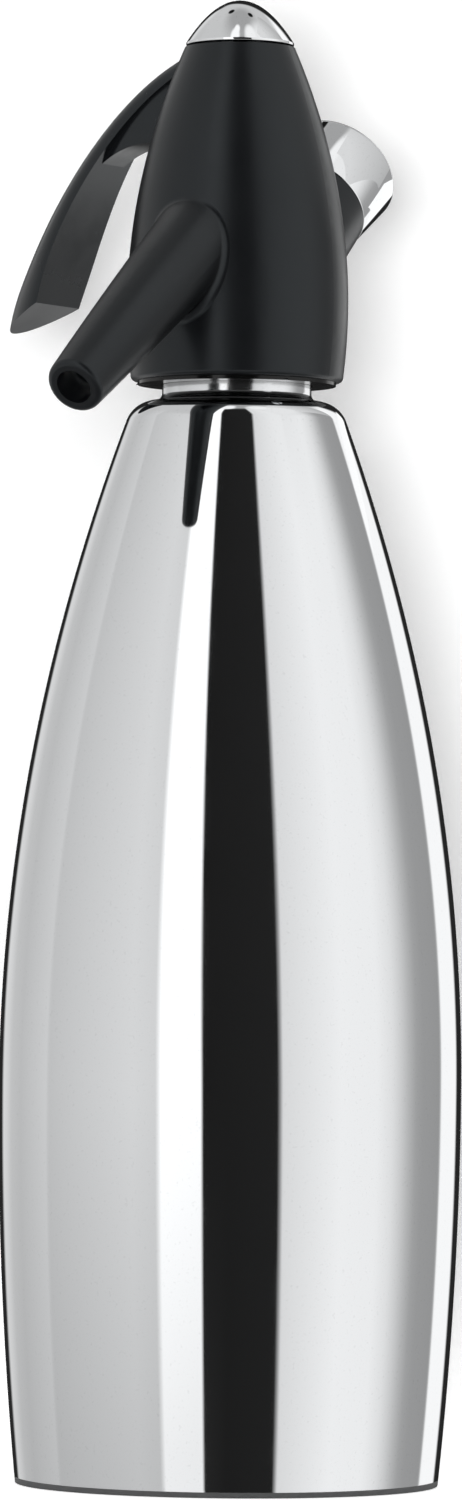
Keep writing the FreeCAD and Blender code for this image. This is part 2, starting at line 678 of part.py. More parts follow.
relief_disc = rod("relief_disc", "relief_radius", RELIEF_SEAT,
                  RELIEF_SEAT + " + relief_disc_height")
keep(beside(relief_disc, RELIEF_OFFSET, "0"), "relief_disc")
relief_nut = lathe("relief_nut", [
    ("relief_vent", RELIEF_SEAT + " + relief_disc_height"),
    ("relief_radius", RELIEF_SEAT + " + relief_disc_height"),
    ("relief_radius", RELIEF_SEAT + " + relief_disc_height + relief_nut_height"),
    ("relief_vent", RELIEF_SEAT + " + relief_disc_height + relief_nut_height"),
])
keep(beside(relief_nut, RELIEF_OFFSET, "0"), "relief_nut")

# ---- pouring valve ----

PLUG_TOP = "(%s - valve_seal_height)" % SEAT
PLUG_FOOT = "(%s - plug_height)" % PLUG_TOP
BUTTON_FLOOR = "(%s + button_socket)" % BUTTON_FOOT
turned("valve_stem", [
    ("0", PLUG_FOOT + " - stem_tail"),
    ("stem_radius", PLUG_FOOT + " - stem_tail"),
    ("stem_radius", PLUG_FOOT),
    (PLUG_RADIUS, PLUG_FOOT),
    (PLUG_RADIUS, PLUG_TOP),
    ("stem_radius", PLUG_TOP),
    ("stem_radius", BUTTON_FLOOR),
    ("0", BUTTON_FLOOR),
])
ring("valve_seal", "stem_radius", PLUG_RADIUS, PLUG_TOP, SEAT)
ring("stem_seal", "stem_radius + stem_gap", GLAND_RADIUS, STEM_SEAL, GLAND)
ring("gland_nut", "stem_radius + stem_gap", GLAND_RADIUS, GLAND, COLUMN_TOP)
turned("stem_button", [
    ("stem_radius", BUTTON_FOOT),
    ("button_radius", BUTTON_FOOT),
    ("button_radius", BUTTON_TOP + " - button_bevel"),
    ("button_radius - button_bevel", BUTTON_TOP),
    ("0", BUTTON_TOP),
    ("0", BUTTON_FLOOR),
    ("stem_radius", BUTTON_FLOOR),
])


def valve_spring():
    """A coil of round wire between the bush and the plug, clear of both by a hair."""
    s = sizes
    height = number(PLUG_FOOT) - number(BUSH_TOP) - s.spring_wire - s.spring_play * 2
    radius = s.chamber_radius - s.spring_gap - s.spring_wire / 2
    helix = Part.makeHelix(height / s.spring_turns, height, radius)
    start = Vector(radius, 0, 0)
    slope = Vector(0, radius * math.tau, height / s.spring_turns)
    section = Part.Wire(Part.Circle(start, slope, s.spring_wire / 2).toShape())
    return Part.Wire(helix).makePipeShell([section], True, True)


formed("valve_spring", valve_spring(), number(BUSH_TOP + " + spring_play + spring_wire / 2"))

# ---- spout ----

MOUTH = "(spout_length - spout_mouth)"
ring("spout_tube", "spout_tube_radius - spout_tube_wall", "spout_tube_radius",
     "spout_arm_end - spout_socket", MOUTH, SPOUT)
ring("spout_seal", "spout_tube_radius", SPOUT_GROOVE, SPOUT_SEAL,
     SPOUT_SEAL + " + ring_height", SPOUT)

# ---- gas inlet and its cap ----

NIPPLE_END = "(boss_end + nipple_length)"
CHARGER_FLOOR = "(%s - charger_depth)" % NIPPLE_END
PIN_SEAT = "(%s - pin_seat)" % CHARGER_FLOOR
turned("inlet_nipple", [
    ("sleeve_radius", "arm_start"),
    ("shank_radius", "arm_start"),
    ("shank_radius", "arm_end"),
    ("nipple_radius", "arm_end"),
    ("nipple_radius", "boss_end"),
    ("nipple_thread_radius", "boss_end"),
    *ridges("nipple_thread_radius", "nipple_thread_radius - nipple_thread_depth",
            "boss_end + nipple_land", NIPPLE_END + " - nipple_land", "nipple_pitch"),
    ("nipple_thread_radius", NIPPLE_END + " - thread_bevel"),
    ("nipple_thread_radius - thread_bevel", NIPPLE_END),
    ("charger_bore", NIPPLE_END),
    ("charger_bore", CHARGER_FLOOR),
    ("pin_radius", CHARGER_FLOOR),
    ("pin_radius", PIN_SEAT),
    ("gas_bore", PIN_SEAT),
    ("gas_bore", "arm_start + sleeve_length"),
    ("sleeve_radius", "arm_start + sleeve_length"),
], INLET)
ring("check_sleeve", "sleeve_slit", "sleeve_radius", "arm_start",
     "arm_start + sleeve_length", INLET)
turned("piercing_pin", [
    ("0", PIN_SEAT),
    ("pin_radius", PIN_SEAT),
    ("pin_radius", CHARGER_FLOOR),
    ("pin_radius * 0.6", CHARGER_FLOOR),
    ("pin_radius * 0.6", CHARGER_FLOOR + " + pin_rise * 0.4"),
    ("0", CHARGER_FLOOR + " + pin_rise"),
], INLET)
ring("charger_washer", "pin_radius + fit_gap", "charger_bore", CHARGER_FLOOR,
     CHARGER_FLOOR + " + washer_height", INLET)

CAP_FOOT = "(boss_end + cap_seat)"
SEAL_FOOT = "(%s + cap_seat)" % NIPPLE_END
CAP_ROOF = "(%s + cap_seal_height)" % SEAL_FOOT
CAP_END = "(%s + cap_wall)" % CAP_ROOF
CAP_BORE = "(nipple_thread_radius + cap_clearance)"
inlet_cap = lathe("inlet_cap", [
    (CAP_BORE, CAP_FOOT),
    ("boss_radius", CAP_FOOT),
    ("cap_end_radius", CAP_END),
    ("0", CAP_END),
    ("0", CAP_ROOF),
    (CAP_BORE, CAP_ROOF),
], INLET)


def soften(body, radius, circle_radius, circle_height):
    """Round the edge of a turned body whose circle has this radius and height."""
    doc.recompute()
    tip = body.Tip
    wanted = (number(circle_radius), number(circle_height))
    names = []
    for index, edge in enumerate(tip.Shape.Edges, start=1):
        curve = edge.Curve
        if not isinstance(curve, Part.Circle):
            continue
        if abs(curve.Radius - wanted[0]) < 0.001 and abs(curve.Center.z - wanted[1]) < 0.001:
            names.append("Edge%d" % index)
    fillet = body.newObject("PartDesign::Fillet", body.Name + "_round")
    fillet.Base = (tip, names)
    fillet.Radius = number(radius)
    fillet.setExpression("Radius", linked(radius))
    body.Tip = fillet
    return body


keep(soften(inlet_cap, "cap_round", "cap_end_radius", CAP_END), "inlet_cap")
ring("cap_seal", "charger_bore", CAP_BORE, SEAL_FOOT, CAP_ROOF, INLET)

# ---- dome ----


def top_dome():
    """A paraboloid on a thin rim, with a hollow plug that fits the head's opening."""
    s = sizes
    foot_z = number(DOME_FOOT)
    radius = number(DOME_RADIUS)
    rim_z = foot_z + s.dome_rim
    apex = rim_z + s.dome_height
    crown = Part.BezierCurve()
    crown.setPoles([
        Vector(0, 0, apex),
        Vector(radius / 2, 0, apex),
        Vector(radius, 0, rim_z),
    ])
    plug = number(TOP_BORE) - s.fit_gap
    plug_foot = foot_z - s.plug_depth
    hollow = plug - s.plug_wall
    corners = [
        Vector(radius, 0, rim_z),
        Vector(radius, 0, foot_z),
        Vector(plug, 0, foot_z),
        Vector(plug, 0, plug_foot),
        Vector(hollow, 0, plug_foot),
        Vector(hollow, 0, rim_z),
        Vector(0, 0, rim_z),
        Vector(0, 0, apex),
    ]
    sides = [line(start, end) for start, end in zip(corners, corners[1:])]
    return spun([crown.toShape()] + sides)


formed("top_dome", top_dome())

# ---- head housing ----


def on_axis(frame, distance):
    """A point on the spout's or the inlet's axis."""
    cross, turn = frame
    angle = math.radians(number(turn))
    return Vector(0, -math.sin(angle), math.cos(angle)) * distance + Vector(0, 0, number(cross))


def bar_on(frame, radius, low, high, end_radius=None):
    """A cylinder, or a cone, between two distances along an axis."""
    start = on_axis(frame, low)
    direction = on_axis(frame, high) - start
    if end_radius is None:
        return Part.makeCylinder(radius, high - low, start, direction)
    return Part.makeCone(radius, end_radius, high - low, start, direction)


def head_bow(inset, low_z, high_z):
    """The head's side, moved in by inset."""
    return bow(number(HEAD_RADIUS), number(HEAD_WIDEST), sizes.head_top_radius,
               number(HEAD_TOP), low_z, high_z, inset)


def head_form(inset, low_z, high_z):
    """The head's filled form, moved in by inset, between two heights."""
    side = head_bow(inset, low_z, high_z)
    low, high = ends(side)
    return spun([
        line(Vector(0, 0, low_z), low),
        side,
        line(high, Vector(0, 0, high_z)),
        line(Vector(0, 0, high_z), Vector(0, 0, low_z)),
    ])


def seams(solid, toward):
    """The edges where something leaves the head's bowed outside on one side, +Y or -Y."""
    side = head_bow(0.0, number(HEAD_FOOT), number(HEAD_TOP))
    found = []
    for edge in solid.Edges:
        first, last = edge.ParameterRange
        points = [edge.valueAt(first + (last - first) * share) for share in (0.2, 0.5, 0.8)]
        level = max(point.z for point in points) - min(point.z for point in points)
        off = [Part.Vertex(math.hypot(point.x, point.y), 0, point.z).distToShape(side)[0]
               for point in points]
        if level > 0.01 and max(off) < 0.01 and min(point.y * toward for point in points) > 1:
            found.append(edge)
    return found


def spout_form():
    """The spout: a long round taper, slightly bowed, with a rounded edge at the outlet."""
    s = sizes
    start = s.drum_radius
    side = Part.BezierCurve()
    side.setPoles([
        Vector(s.spout_root_radius, 0, start),
        Vector(s.spout_belly_radius, 0, (start + s.spout_length) / 2),
        Vector(s.spout_tip_radius, 0, s.spout_length),
    ])
    low, high = ends(side.toShape())
    form = spun([
        line(Vector(0, 0, start), low),
        side.toShape(),
        line(high, Vector(0, 0, s.spout_length)),
        line(Vector(0, 0, s.spout_length), Vector(0, 0, start)),
    ])
    rim = circle_edges(form, s.spout_length, s.spout_tip_radius)
    form = form.makeFillet(s.spout_round, rim)
    cross, turn = SPOUT
    form.Placement = Placement(Vector(0, 0, number(cross)),
                               Rotation(Vector(1, 0, 0), number(turn)))
    return form


def outer_head():
    """The outside: the bowed form with the spout and the inlet boss grown out of it."""
    s = sizes
    form = head_form(0.0, number(HEAD_FOOT), number(HEAD_TOP))
    foot = ends(head_bow(0.0, number(HEAD_FOOT), number(HEAD_TOP)))[0]
    form = form.makeFillet(s.head_foot_round, circle_edges(form, foot.z, foot.x))
    form = form.fuse(spout_form())
    form = form.makeFillet(s.spout_blend, seams(form, -1))
    start = s.drum_radius
    slope = (s.boss_radius - s.boss_root_radius) / s.boss_end
    boss = bar_on(INLET, s.boss_root_radius + slope * start, start, s.boss_end, s.boss_radius)
    form = form.fuse(boss)
    return form.makeFillet(s.boss_blend, seams(form, 1))


def slot_box():
    """The slot through the head's side that the lever moves in."""
    s = sizes
    depth = number(HEAD_RADIUS) * 2
    width = s.bar_root_width + s.slot_gap * 2
    foot = number(HEAD_TOP) - s.slot_roof - s.slot_height
    return Part.makeBox(depth, width, s.slot_height, Vector(-depth, -width / 2, foot))


def head_cavity():
    """The inside: a bore in the foot, a ledge over the valve body's disc, and the form
    moved in by the wall above it."""
    s = sizes
    disc_top = number(FLOOR) + s.disc_height
    ledge_top = disc_top + s.ledge_height
    low = number(HEAD_FOOT) - OVERRUN
    bore = number(FOOT_BORE)
    roof = number(ROOF)
    foot = Part.makeCylinder(bore, disc_top - low, Vector(0, 0, low))
    ledge = Part.makeCylinder(bore - s.ledge_width, ledge_top - disc_top + OVERRUN,
                              Vector(0, 0, disc_top))
    upper = head_form(s.head_wall, ledge_top, roof)
    opening = Part.makeCylinder(number(TOP_BORE), s.head_roof + OVERRUN * 2,
                                Vector(0, 0, roof - OVERRUN))
    return foot.fuse([ledge, upper, opening])


PIN_LENGTH = "(web_width + (ear_gap + pin_reach) * 2)"


def pin_ears():
    """Two ears inside the head, hung from its roof, that hold the lever pin."""
    s = sizes
    radius = number(HEAD_RADIUS)
    roof = number(ROOF)
    foot = number(PIVOT) - s.ear_width / 2
    near = s.web_width / 2 + s.ear_gap
    height = roof + OVERRUN - foot
    inside = head_form(s.head_wall / 2, foot, roof + OVERRUN)
    block = Part.makeBox(s.ear_width, radius * 2, height,
                         Vector(s.pivot_x - s.ear_width / 2, -radius, foot))
    gap = Part.makeBox(s.ear_width * 2, near * 2, height + OVERRUN * 2,
                       Vector(s.pivot_x - s.ear_width, -near, foot - OVERRUN))
    well = Part.makeCylinder(number(TOP_BORE), height, Vector(0, 0, roof))
    return block.common(inside).cut(gap).cut(well)


def head_housing():
    """The moulded head: outside less inside, with ears, slot and bores."""
    s = sizes
    body = outer_head().cut(head_cavity())
    mouth = number(MOUTH)
    start = s.drum_radius
    body = body.cut([
        bar_on(SPOUT, number(SPOUT_BORE), mouth, s.spout_length + OVERRUN),
        bar_on(SPOUT, s.spout_tube_radius, start, mouth),
        bar_on(INLET, s.nipple_radius + s.fit_gap, start, s.boss_end + OVERRUN),
        slot_box(),
        screw_blanks.Shape,
    ])
    length = number(PIN_LENGTH)
    pin_hole = Part.makeCylinder(s.pivot_radius, length,
                                 Vector(s.pivot_x, -length / 2, number(PIVOT)),
                                 Vector(0, 1, 0))
    return body.fuse(pin_ears()).cut(pin_hole)


doc.recompute()
formed("head_housing", head_housing())

# ---- lever ----

lever_pin = doc.addObject("Part::Cylinder", "lever_pin")
lever_pin.setExpression("Radius", linked("pivot_radius"))
lever_pin.setExpression("Height", linked(PIN_LENGTH))
lever_pin.Placement = Placement(Vector(0, 0, 0), Rotation(Vector(1, 0, 0), -90))
lever_pin.setExpression(".Placement.Base.x", linked("pivot_x"))
lever_pin.setExpression(".Placement.Base.y", linked("-%s / 2" % PIN_LENGTH))
lever_pin.setExpression(".Placement.Base.z", linked(PIVOT))
keep(lever_pin, "lever_pin")


def below_head(across, drop):
    """A point of the lever's middle plane: so far from the axis, so far below the head's top."""
    return Vector(-across, 0, number(HEAD_TOP) - drop)


def bar_line():
    """The bar's inner face in the lever's middle plane: a curve with a set slope and pull
    at each end."""
    s = sizes
    root = below_head(s.bar_root_x, s.bar_root_drop)
    lip = below_head(s.bar_lip_x, s.bar_lip_drop)
    root_slope = math.radians(s.bar_root_slope)
    lip_slope = math.radians(s.bar_lip_slope)
    curve = Part.BezierCurve()
    curve.setPoles([
        root,
        root + Vector(-math.cos(root_slope), 0, -math.sin(root_slope)) * s.bar_root_pull,
        lip + Vector(math.cos(lip_slope), 0, math.sin(lip_slope)) * s.bar_lip_pull,
        lip,
    ])
    return curve


def drawn(share, *pulls):
    """The value that a Bezier curve with these pulls has at a share of its length."""
    while len(pulls) > 1:
        pulls = [low + (high - low) * share for low, high in zip(pulls, pulls[1:])]
    return pulls[0]


def bar_section(share, run=0.0):
    """A cross-section of the bar: flat inside, crowned outside. The crown goes from full
    at the head to a rounded ridge at the lip. A run carries it straight on past the lip."""
    s = sizes
    curve = bar_line()
    tangent = curve.tangent(share)[0]
    origin = curve.value(share) + tangent * run
    outward = Vector(tangent.z, 0, -tangent.x)
    half = drawn(share, s.bar_root_width, s.bar_waist_width, s.bar_belly_width,
                 s.bar_lip_width) / 2
    height = drawn(share, s.bar_root_thickness, s.bar_belly_thickness, s.bar_lip_thickness)
    full = s.bar_root_fullness + (s.bar_lip_fullness - s.bar_root_fullness) * share
    side = Vector(0, half, 0)
    top = origin + outward * height
    edges = [line(origin - side, origin + side)]
    for sign in (1, -1):
        arc = Part.BezierCurve()
        arc.setPoles([
            origin + side * sign,
            origin + side * sign + outward * height * full,
            top + side * sign * full,
            top,
        ])
        edges.append(arc.toShape())
    return Part.Wire(edges)


def bar_solid():
    """The grip: sections from the head to past the lip, ended by a sloping facet."""
    s = sizes
    stations = 9
    overrun = s.bar_lip_thickness * 1.4
    wires = [bar_section(step / (stations - 1)) for step in range(stations)]
    wires += [bar_section(1.0, overrun / 2), bar_section(1.0, overrun)]
    reach = s.bar_lip_thickness * 4
    below = Part.makeBox(reach, reach, reach, Vector(-reach, -reach / 2, -reach))
    below.rotate(Vector(0, 0, 0), Vector(0, 1, 0), -s.bar_facet_slope)
    below.translate(below_head(s.bar_lip_x, s.bar_lip_drop))
    return Part.makeLoft(wires, True).cut(below)


def web_solid():
    """The plate from the bar's inner face, through the slot, to the hub and the nose."""
    s = sizes
    curve = bar_line()
    foot = below_head(s.web_foot_x, s.web_foot_drop)
    wall = below_head(s.web_wall_x, s.web_wall_drop)
    arch = (foot + wall) * 0.5 + Vector(0, 0, s.web_arch)
    nose = Vector(0, 0, number(BUTTON_TOP) + s.nose_gap + s.nose_radius)
    hub = Vector(s.pivot_x, 0, number(PIVOT))
    up = Vector(0, 0, s.hub_radius)
    stations = 5
    share_end = curve.parameter(foot)
    rise = []
    for step in range(stations):
        share = share_end * step / (stations - 1)
        tangent = curve.tangent(share)[0]
        outward = Vector(tangent.z, 0, -tangent.x)
        rise.append(curve.value(share) + outward * s.bar_root_thickness * 0.5)
    chain = [wall, nose - Vector(s.nose_radius, 0, 0), hub - up, hub + up] + rise + [foot]
    edges = [line(start, end) for start, end in zip(chain, chain[1:])]
    edges.append(Part.Arc(foot, arch, wall).toShape())
    face = Part.Face(Part.Wire(edges))
    plate = face.extrude(Vector(0, s.web_width, 0))
    plate.translate(Vector(0, -s.web_width / 2, 0))
    start = Vector(0, -s.web_width / 2, 0)
    across = Vector(0, 1, 0)
    press = Part.makeCylinder(s.nose_radius, s.web_width, nose + start, across)
    boss = Part.makeCylinder(s.hub_radius, s.web_width, hub + start, across)
    return plate.fuse([press, boss])


def lever():
    s = sizes
    bore = Part.makeCylinder(s.pivot_radius + s.pivot_gap, s.web_width * 2,
                             Vector(s.pivot_x, -s.web_width, number(PIVOT)), Vector(0, 1, 0))
    return bar_solid().fuse(web_solid()).cut(bore).removeSplitter()


formed("lever", lever())

# ---- check and write ----

doc.recompute()
for item in doc.Objects:
    if "Invalid" in item.State or "Error" in item.State:
        raise RuntimeError("%s failed: %s" % (item.Label, item.State))
for piece in kept:
    if piece.Shape.isNull() or not piece.Shape.isValid():
        raise RuntimeError("%s has no valid shape" % piece.Label)

os.makedirs("parts", exist_ok=True)
for piece in kept:
    piece.Shape.exportStep(os.path.join("parts", piece.Label + ".step"))
    solids = len(piece.Shape.Solids)
    print("%-16s %2d solid(s) %10.1f mm3" % (piece.Label, solids, piece.Shape.Volume))
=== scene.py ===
import math

import bmesh
import bpy
import numpy as np
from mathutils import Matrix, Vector


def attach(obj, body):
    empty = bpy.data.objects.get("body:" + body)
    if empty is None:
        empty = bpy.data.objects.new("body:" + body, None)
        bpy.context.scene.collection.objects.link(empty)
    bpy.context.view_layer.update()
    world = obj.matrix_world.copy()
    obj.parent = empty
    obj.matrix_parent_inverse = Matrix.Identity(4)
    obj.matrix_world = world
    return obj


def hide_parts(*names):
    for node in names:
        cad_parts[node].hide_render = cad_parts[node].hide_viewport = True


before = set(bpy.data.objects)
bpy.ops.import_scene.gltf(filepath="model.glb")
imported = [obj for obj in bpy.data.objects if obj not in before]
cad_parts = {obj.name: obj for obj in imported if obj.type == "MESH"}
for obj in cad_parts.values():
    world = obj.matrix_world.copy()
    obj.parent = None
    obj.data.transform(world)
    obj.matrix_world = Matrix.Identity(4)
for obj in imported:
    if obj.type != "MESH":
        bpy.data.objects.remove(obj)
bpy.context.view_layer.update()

# ---- Bottle ----
# The pressure bottle: one drawn sheet of stainless steel, polished to a mirror outside. Its
# foot is turned in to a narrow rim that it stands on, and its shoulder rolls over to the
# hole for the neck. Sizes here and below are in millimetres, outlines are (radius, height).

MM = 0.001
BOTTLE_RADIUS = 50.0
BOTTLE_WIDEST = 86.0
BOTTLE_FOOT = 45.65
SHOULDER = 234.0
SHOULDER_CORNER = 22.25
SHOULDER_ROUND = 6.5
BOTTLE_SHEET = 0.8
FOOT_ROUND = 0.28
RIM_WIDTH = 3.2
NECK_RADIUS = 16.2
SAME_POINT = 0.0002
SHARP_ANGLE = 32.0


def bottle_side(z):
    """The side's radius: the widest radius less a share of the squared distance from the
    widest level, a small share below that level and a larger one above it."""
    above_height = SHOULDER - BOTTLE_WIDEST
    below = (BOTTLE_RADIUS - BOTTLE_FOOT) * ((z - BOTTLE_WIDEST) / BOTTLE_WIDEST) ** 2
    above = (BOTTLE_RADIUS - SHOULDER_CORNER) * ((z - BOTTLE_WIDEST) / above_height) ** 2
    return BOTTLE_RADIUS - np.where(z < BOTTLE_WIDEST, below, above)


def sheet_line(inset, foot_z, heel_round):
    """One face of the sheet from its foot, up the side and over the shoulder to the neck's
    hole. The middle of each rounding is where the side, moved in by the rounding along its
    own normal, crosses the level that lies the same distance inside the foot or the roof."""
    roof = SHOULDER - inset
    roll_round = SHOULDER_ROUND - inset
    z = np.linspace(foot_z, roof, 4000)
    r = bottle_side(z) - inset
    slope = np.gradient(r, z)
    stretch = np.hypot(1.0, slope)

    def rounding(size, level):
        touch = np.interp(level, z + size * slope / stretch, z)
        middle = np.interp(touch, z, r - size / stretch)
        lean = math.atan(-np.interp(touch, z, slope))
        return touch, middle, lean

    heel_touch, heel_middle, heel_lean = rounding(heel_round, foot_z + heel_round)
    roll_touch, roll_middle, roll_lean = rounding(roll_round, roof - roll_round)
    heel_turn = np.linspace(-math.pi / 2, heel_lean, 16)
    roll_turn = np.linspace(roll_lean, math.pi / 2, 32)
    levels = np.linspace(heel_touch, roll_touch, 150)[1:-1]
    return np.vstack([
        np.c_[heel_middle + heel_round * np.cos(heel_turn),
              foot_z + heel_round + heel_round * np.sin(heel_turn)],
        np.c_[bottle_side(levels) - inset, levels],
        np.c_[roll_middle + roll_round * np.cos(roll_turn),
              roof - roll_round + roll_round * np.sin(roll_turn)],
        [[NECK_RADIUS, roof]],
    ])


def turned(outline, columns=256):
    """A grid with a row for each point of an outline and a column for each step of the turn:
    x is the radius times the turn's cosine, y the radius times its sine, z the height."""
    turn = np.linspace(0.0, math.tau, columns, endpoint=False)
    radius = outline[:, 0:1]
    height = np.repeat(outline[:, 1:2], columns, axis=1)
    return np.stack([radius * np.cos(turn), radius * np.sin(turn), height], axis=-1)


def closed_mesh(name, grid):
    """A mesh from a grid whose rows and columns both run round to their start. Rows on the
    axis shrink to one point. The faces are turned over if the volume inside them, summed as
    the triple products of their corners, comes out negative."""
    rows, columns = grid.shape[:2]
    corner = np.arange(rows * columns).reshape(rows, columns)
    beside = np.roll(corner, -1, axis=1)
    above = np.roll(corner, -1, axis=0)
    across = np.roll(above, -1, axis=1)
    faces = np.stack([corner, beside, across, above], axis=-1).reshape(-1, 4)
    points = grid.reshape(-1, 3) * MM
    a, b, c, d = (points[faces[:, side]] for side in range(4))
    if (a * np.cross(b, c)).sum() + (a * np.cross(c, d)).sum() < 0:
        faces = faces[:, ::-1]
    mesh = bpy.data.meshes.new(name)
    mesh.from_pydata(points.tolist(), [], faces.tolist())
    form = bmesh.new()
    form.from_mesh(mesh)
    bmesh.ops.remove_doubles(form, verts=form.verts, dist=SAME_POINT * MM)
    form.to_mesh(mesh)
    form.free()
    mesh.polygons.foreach_set("use_smooth", np.ones(len(mesh.polygons), bool))
    mesh.set_sharp_from_angle(angle=math.radians(SHARP_ANGLE))
    return mesh


def stand_in(mesh, node, body, material):
    """Puts a finished mesh in the place of a CAD node, on its body."""
    made = bpy.data.objects.new(mesh.name, mesh)
    bpy.context.scene.collection.objects.link(made)
    mesh.materials.append(material)
    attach(made, body)
    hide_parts(node)
    return made


def finish(name, color, roughness, metallic=0.0):
    """A new material with its plain colour, roughness and metallic, its tree and shader."""
    material = bpy.data.materials.new(name)
    material.use_nodes = True
    tree = material.node_tree
    shader = tree.nodes["Principled BSDF"]
    shader.inputs["Base Color"].default_value = (*color, 1.0)
    shader.inputs["Roughness"].default_value = roughness
    shader.inputs["Metallic"].default_value = metallic
    return material, tree, shader


def add(tree, kind, sockets, **settings):
    """A new shader node. Each named socket takes a value, or is joined to an output."""
    made = tree.nodes.new("ShaderNode" + kind)
    for name, value in settings.items():
        setattr(made, name, value)
    for name, value in sockets.items():
        if isinstance(value, bpy.types.NodeSocket):
            tree.links.new(value, made.inputs[name])
        else:
            made.inputs[name].default_value = value
    return made


def effect(name, inputs, outputs):
    """An empty node group with float or vector inputs, and the nodes at its two ends."""
    tree = bpy.data.node_groups.new(name, "ShaderNodeTree")
    for label, value in inputs.items():
        kind = "NodeSocketVector" if value is None else "NodeSocketFloat"
        socket = tree.interface.new_socket(label, in_out="INPUT", socket_type=kind)
        if value is not None:
            socket.default_value = value
    for label in outputs:
        tree.interface.new_socket(label, in_out="OUTPUT", socket_type="NodeSocketFloat")
    return tree, tree.nodes.new("NodeGroupInput"), tree.nodes.new("NodeGroupOutput")


# Lines left by turning or polishing: noise over the distance from the axis and the height
# alone, so that it runs round the piece.
lathe_lines, entry, result = effect("lathe_lines", {"Vector": None, "Lines per metre": 9000.0}, ["Lines"])
parts = add(lathe_lines, "SeparateXYZ", {"Vector": entry.outputs["Vector"]})
flat = add(lathe_lines, "CombineXYZ", {"X": parts.outputs["X"], "Y": parts.outputs["Y"]})
radius = add(lathe_lines, "VectorMath", {0: flat.outputs[0]}, operation="LENGTH")
ring = add(lathe_lines, "CombineXYZ", {"X": radius.outputs["Value"], "Z": parts.outputs["Z"]})
noise = add(lathe_lines, "TexNoise", {"Vector": ring.outputs[0], "Scale": entry.outputs["Lines per metre"],
                                      "Detail": 3.0, "Roughness": 0.6})
lathe_lines.links.new(noise.outputs["Fac"], result.inputs["Lines"])

# Traces of handling and wiping: broad, stretched smears from noise that is itself bent.
smears, entry, result = effect("smears", {"Vector": None, "Smears per metre": 40.0}, ["Smears", "Dust"])
noise = add(smears, "TexNoise", {"Vector": entry.outputs["Vector"],
                                 "Scale": entry.outputs["Smears per metre"], "Detail": 4.0,
                                 "Roughness": 0.55, "Distortion": 1.4})
smears.links.new(noise.outputs["Fac"], result.inputs["Smears"])
finer = add(smears, "Math", {0: entry.outputs["Smears per metre"], 1: 35.0}, operation="MULTIPLY")
speck = add(smears, "TexNoise", {"Vector": entry.outputs["Vector"], "Scale": finer.outputs[0], "Detail": 2.0})
thin = add(smears, "MapRange", {"Value": speck.outputs["Fac"], "From Min": 0.62, "From Max": 0.74})
smears.links.new(thin.outputs["Result"], result.inputs["Dust"])


def polish(material, tree, shader, turn=0.0, lift=0.0, lines=9000.0, line_depth=0.00012, rough=(0.03, 0.055)):
    """Lathe lines in the normal, and smears in the roughness and colour, of a bright metal.
    A piece on a leaning axis gives its turn about X, in degrees, and where it starts."""
    place = add(tree, "TexCoord", {})
    own = add(tree, "Mapping", {"Vector": place.outputs["Object"], "Location": (0.0, 0.0, lift * MM),
                                "Rotation": (math.radians(turn), 0.0, 0.0)}, vector_type="TEXTURE")
    marks = add(tree, "Group", {"Vector": own.outputs[0], "Lines per metre": lines}, node_tree=lathe_lines)
    wipe = add(tree, "Group", {"Vector": own.outputs[0]}, node_tree=smears)
    bump = add(tree, "Bump", {"Height": marks.outputs["Lines"], "Distance": line_depth * MM, "Strength": 1.0})
    tree.links.new(bump.outputs["Normal"], shader.inputs["Normal"])
    dull = add(tree, "MapRange", {"Value": wipe.outputs["Smears"], "From Min": 0.35, "From Max": 0.7,
                                  "To Min": rough[0], "To Max": rough[1]})
    tree.links.new(dull.outputs["Result"], shader.inputs["Roughness"])
    color = shader.inputs["Base Color"].default_value[:3]
    shade = add(tree, "Mix", {"Factor": wipe.outputs["Dust"], 6: (*color, 1.0),
                              7: (*(0.94 * tone for tone in color), 1.0)}, data_type="RGBA")
    tree.links.new(shade.outputs[2], shader.inputs["Base Color"])
    return material


mirror_steel = polish(*finish("mirror_steel", (0.79, 0.80, 0.81), 0.04, 1.0))
outside = sheet_line(0.0, 0.0, FOOT_ROUND)
inside = sheet_line(BOTTLE_SHEET, BOTTLE_SHEET, FOOT_ROUND)
rim = BOTTLE_FOOT - RIM_WIDTH
bottle = closed_mesh("bottle", turned(np.vstack([
    [[rim, 0.0]],
    outside,
    inside[::-1],
    [[rim, BOTTLE_SHEET]],
]), columns=384))
stand_in(bottle, "bottle_shell", "bottle", mirror_steel)

# ---- Base pan ----
# A pressed dish of the same steel, spun into the foot and held by the rim. It closes the
# bottle from below and keeps its circular pressing marks.


def dress(material, *names):
    """Gives CAD nodes whose shape is right their finish."""
    for name in names:
        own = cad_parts[name].data.materials
        own.clear()
        own.append(material)


pressed_steel = polish(*finish("pressed_steel", (0.70, 0.71, 0.72), 0.2, 1.0),
                       lines=2400.0, line_depth=0.004, rough=(0.16, 0.28))
dress(pressed_steel, "base_pan")

# ---- Neck ----
# A turned steel ring, brazed into the shoulder with a small fillet. Its mouth is stepped for
# the filling tube and its outside carries the screw thread for the head.

NECK_BORE = 14.2
NECK_TOP = 254.0
NECK_FLARE = 1.1
FLANGE_WIDTH = 1.5
FLANGE_SHEET = 1.0
MOUTH_SEAT = 15.2
MOUTH_DEPTH = 1.2
NECK_THREAD = (240.5, 253.0)
NECK_PITCH = 2.4
NECK_THREAD_DEPTH = 0.55
THREAD_BEVEL = 0.5


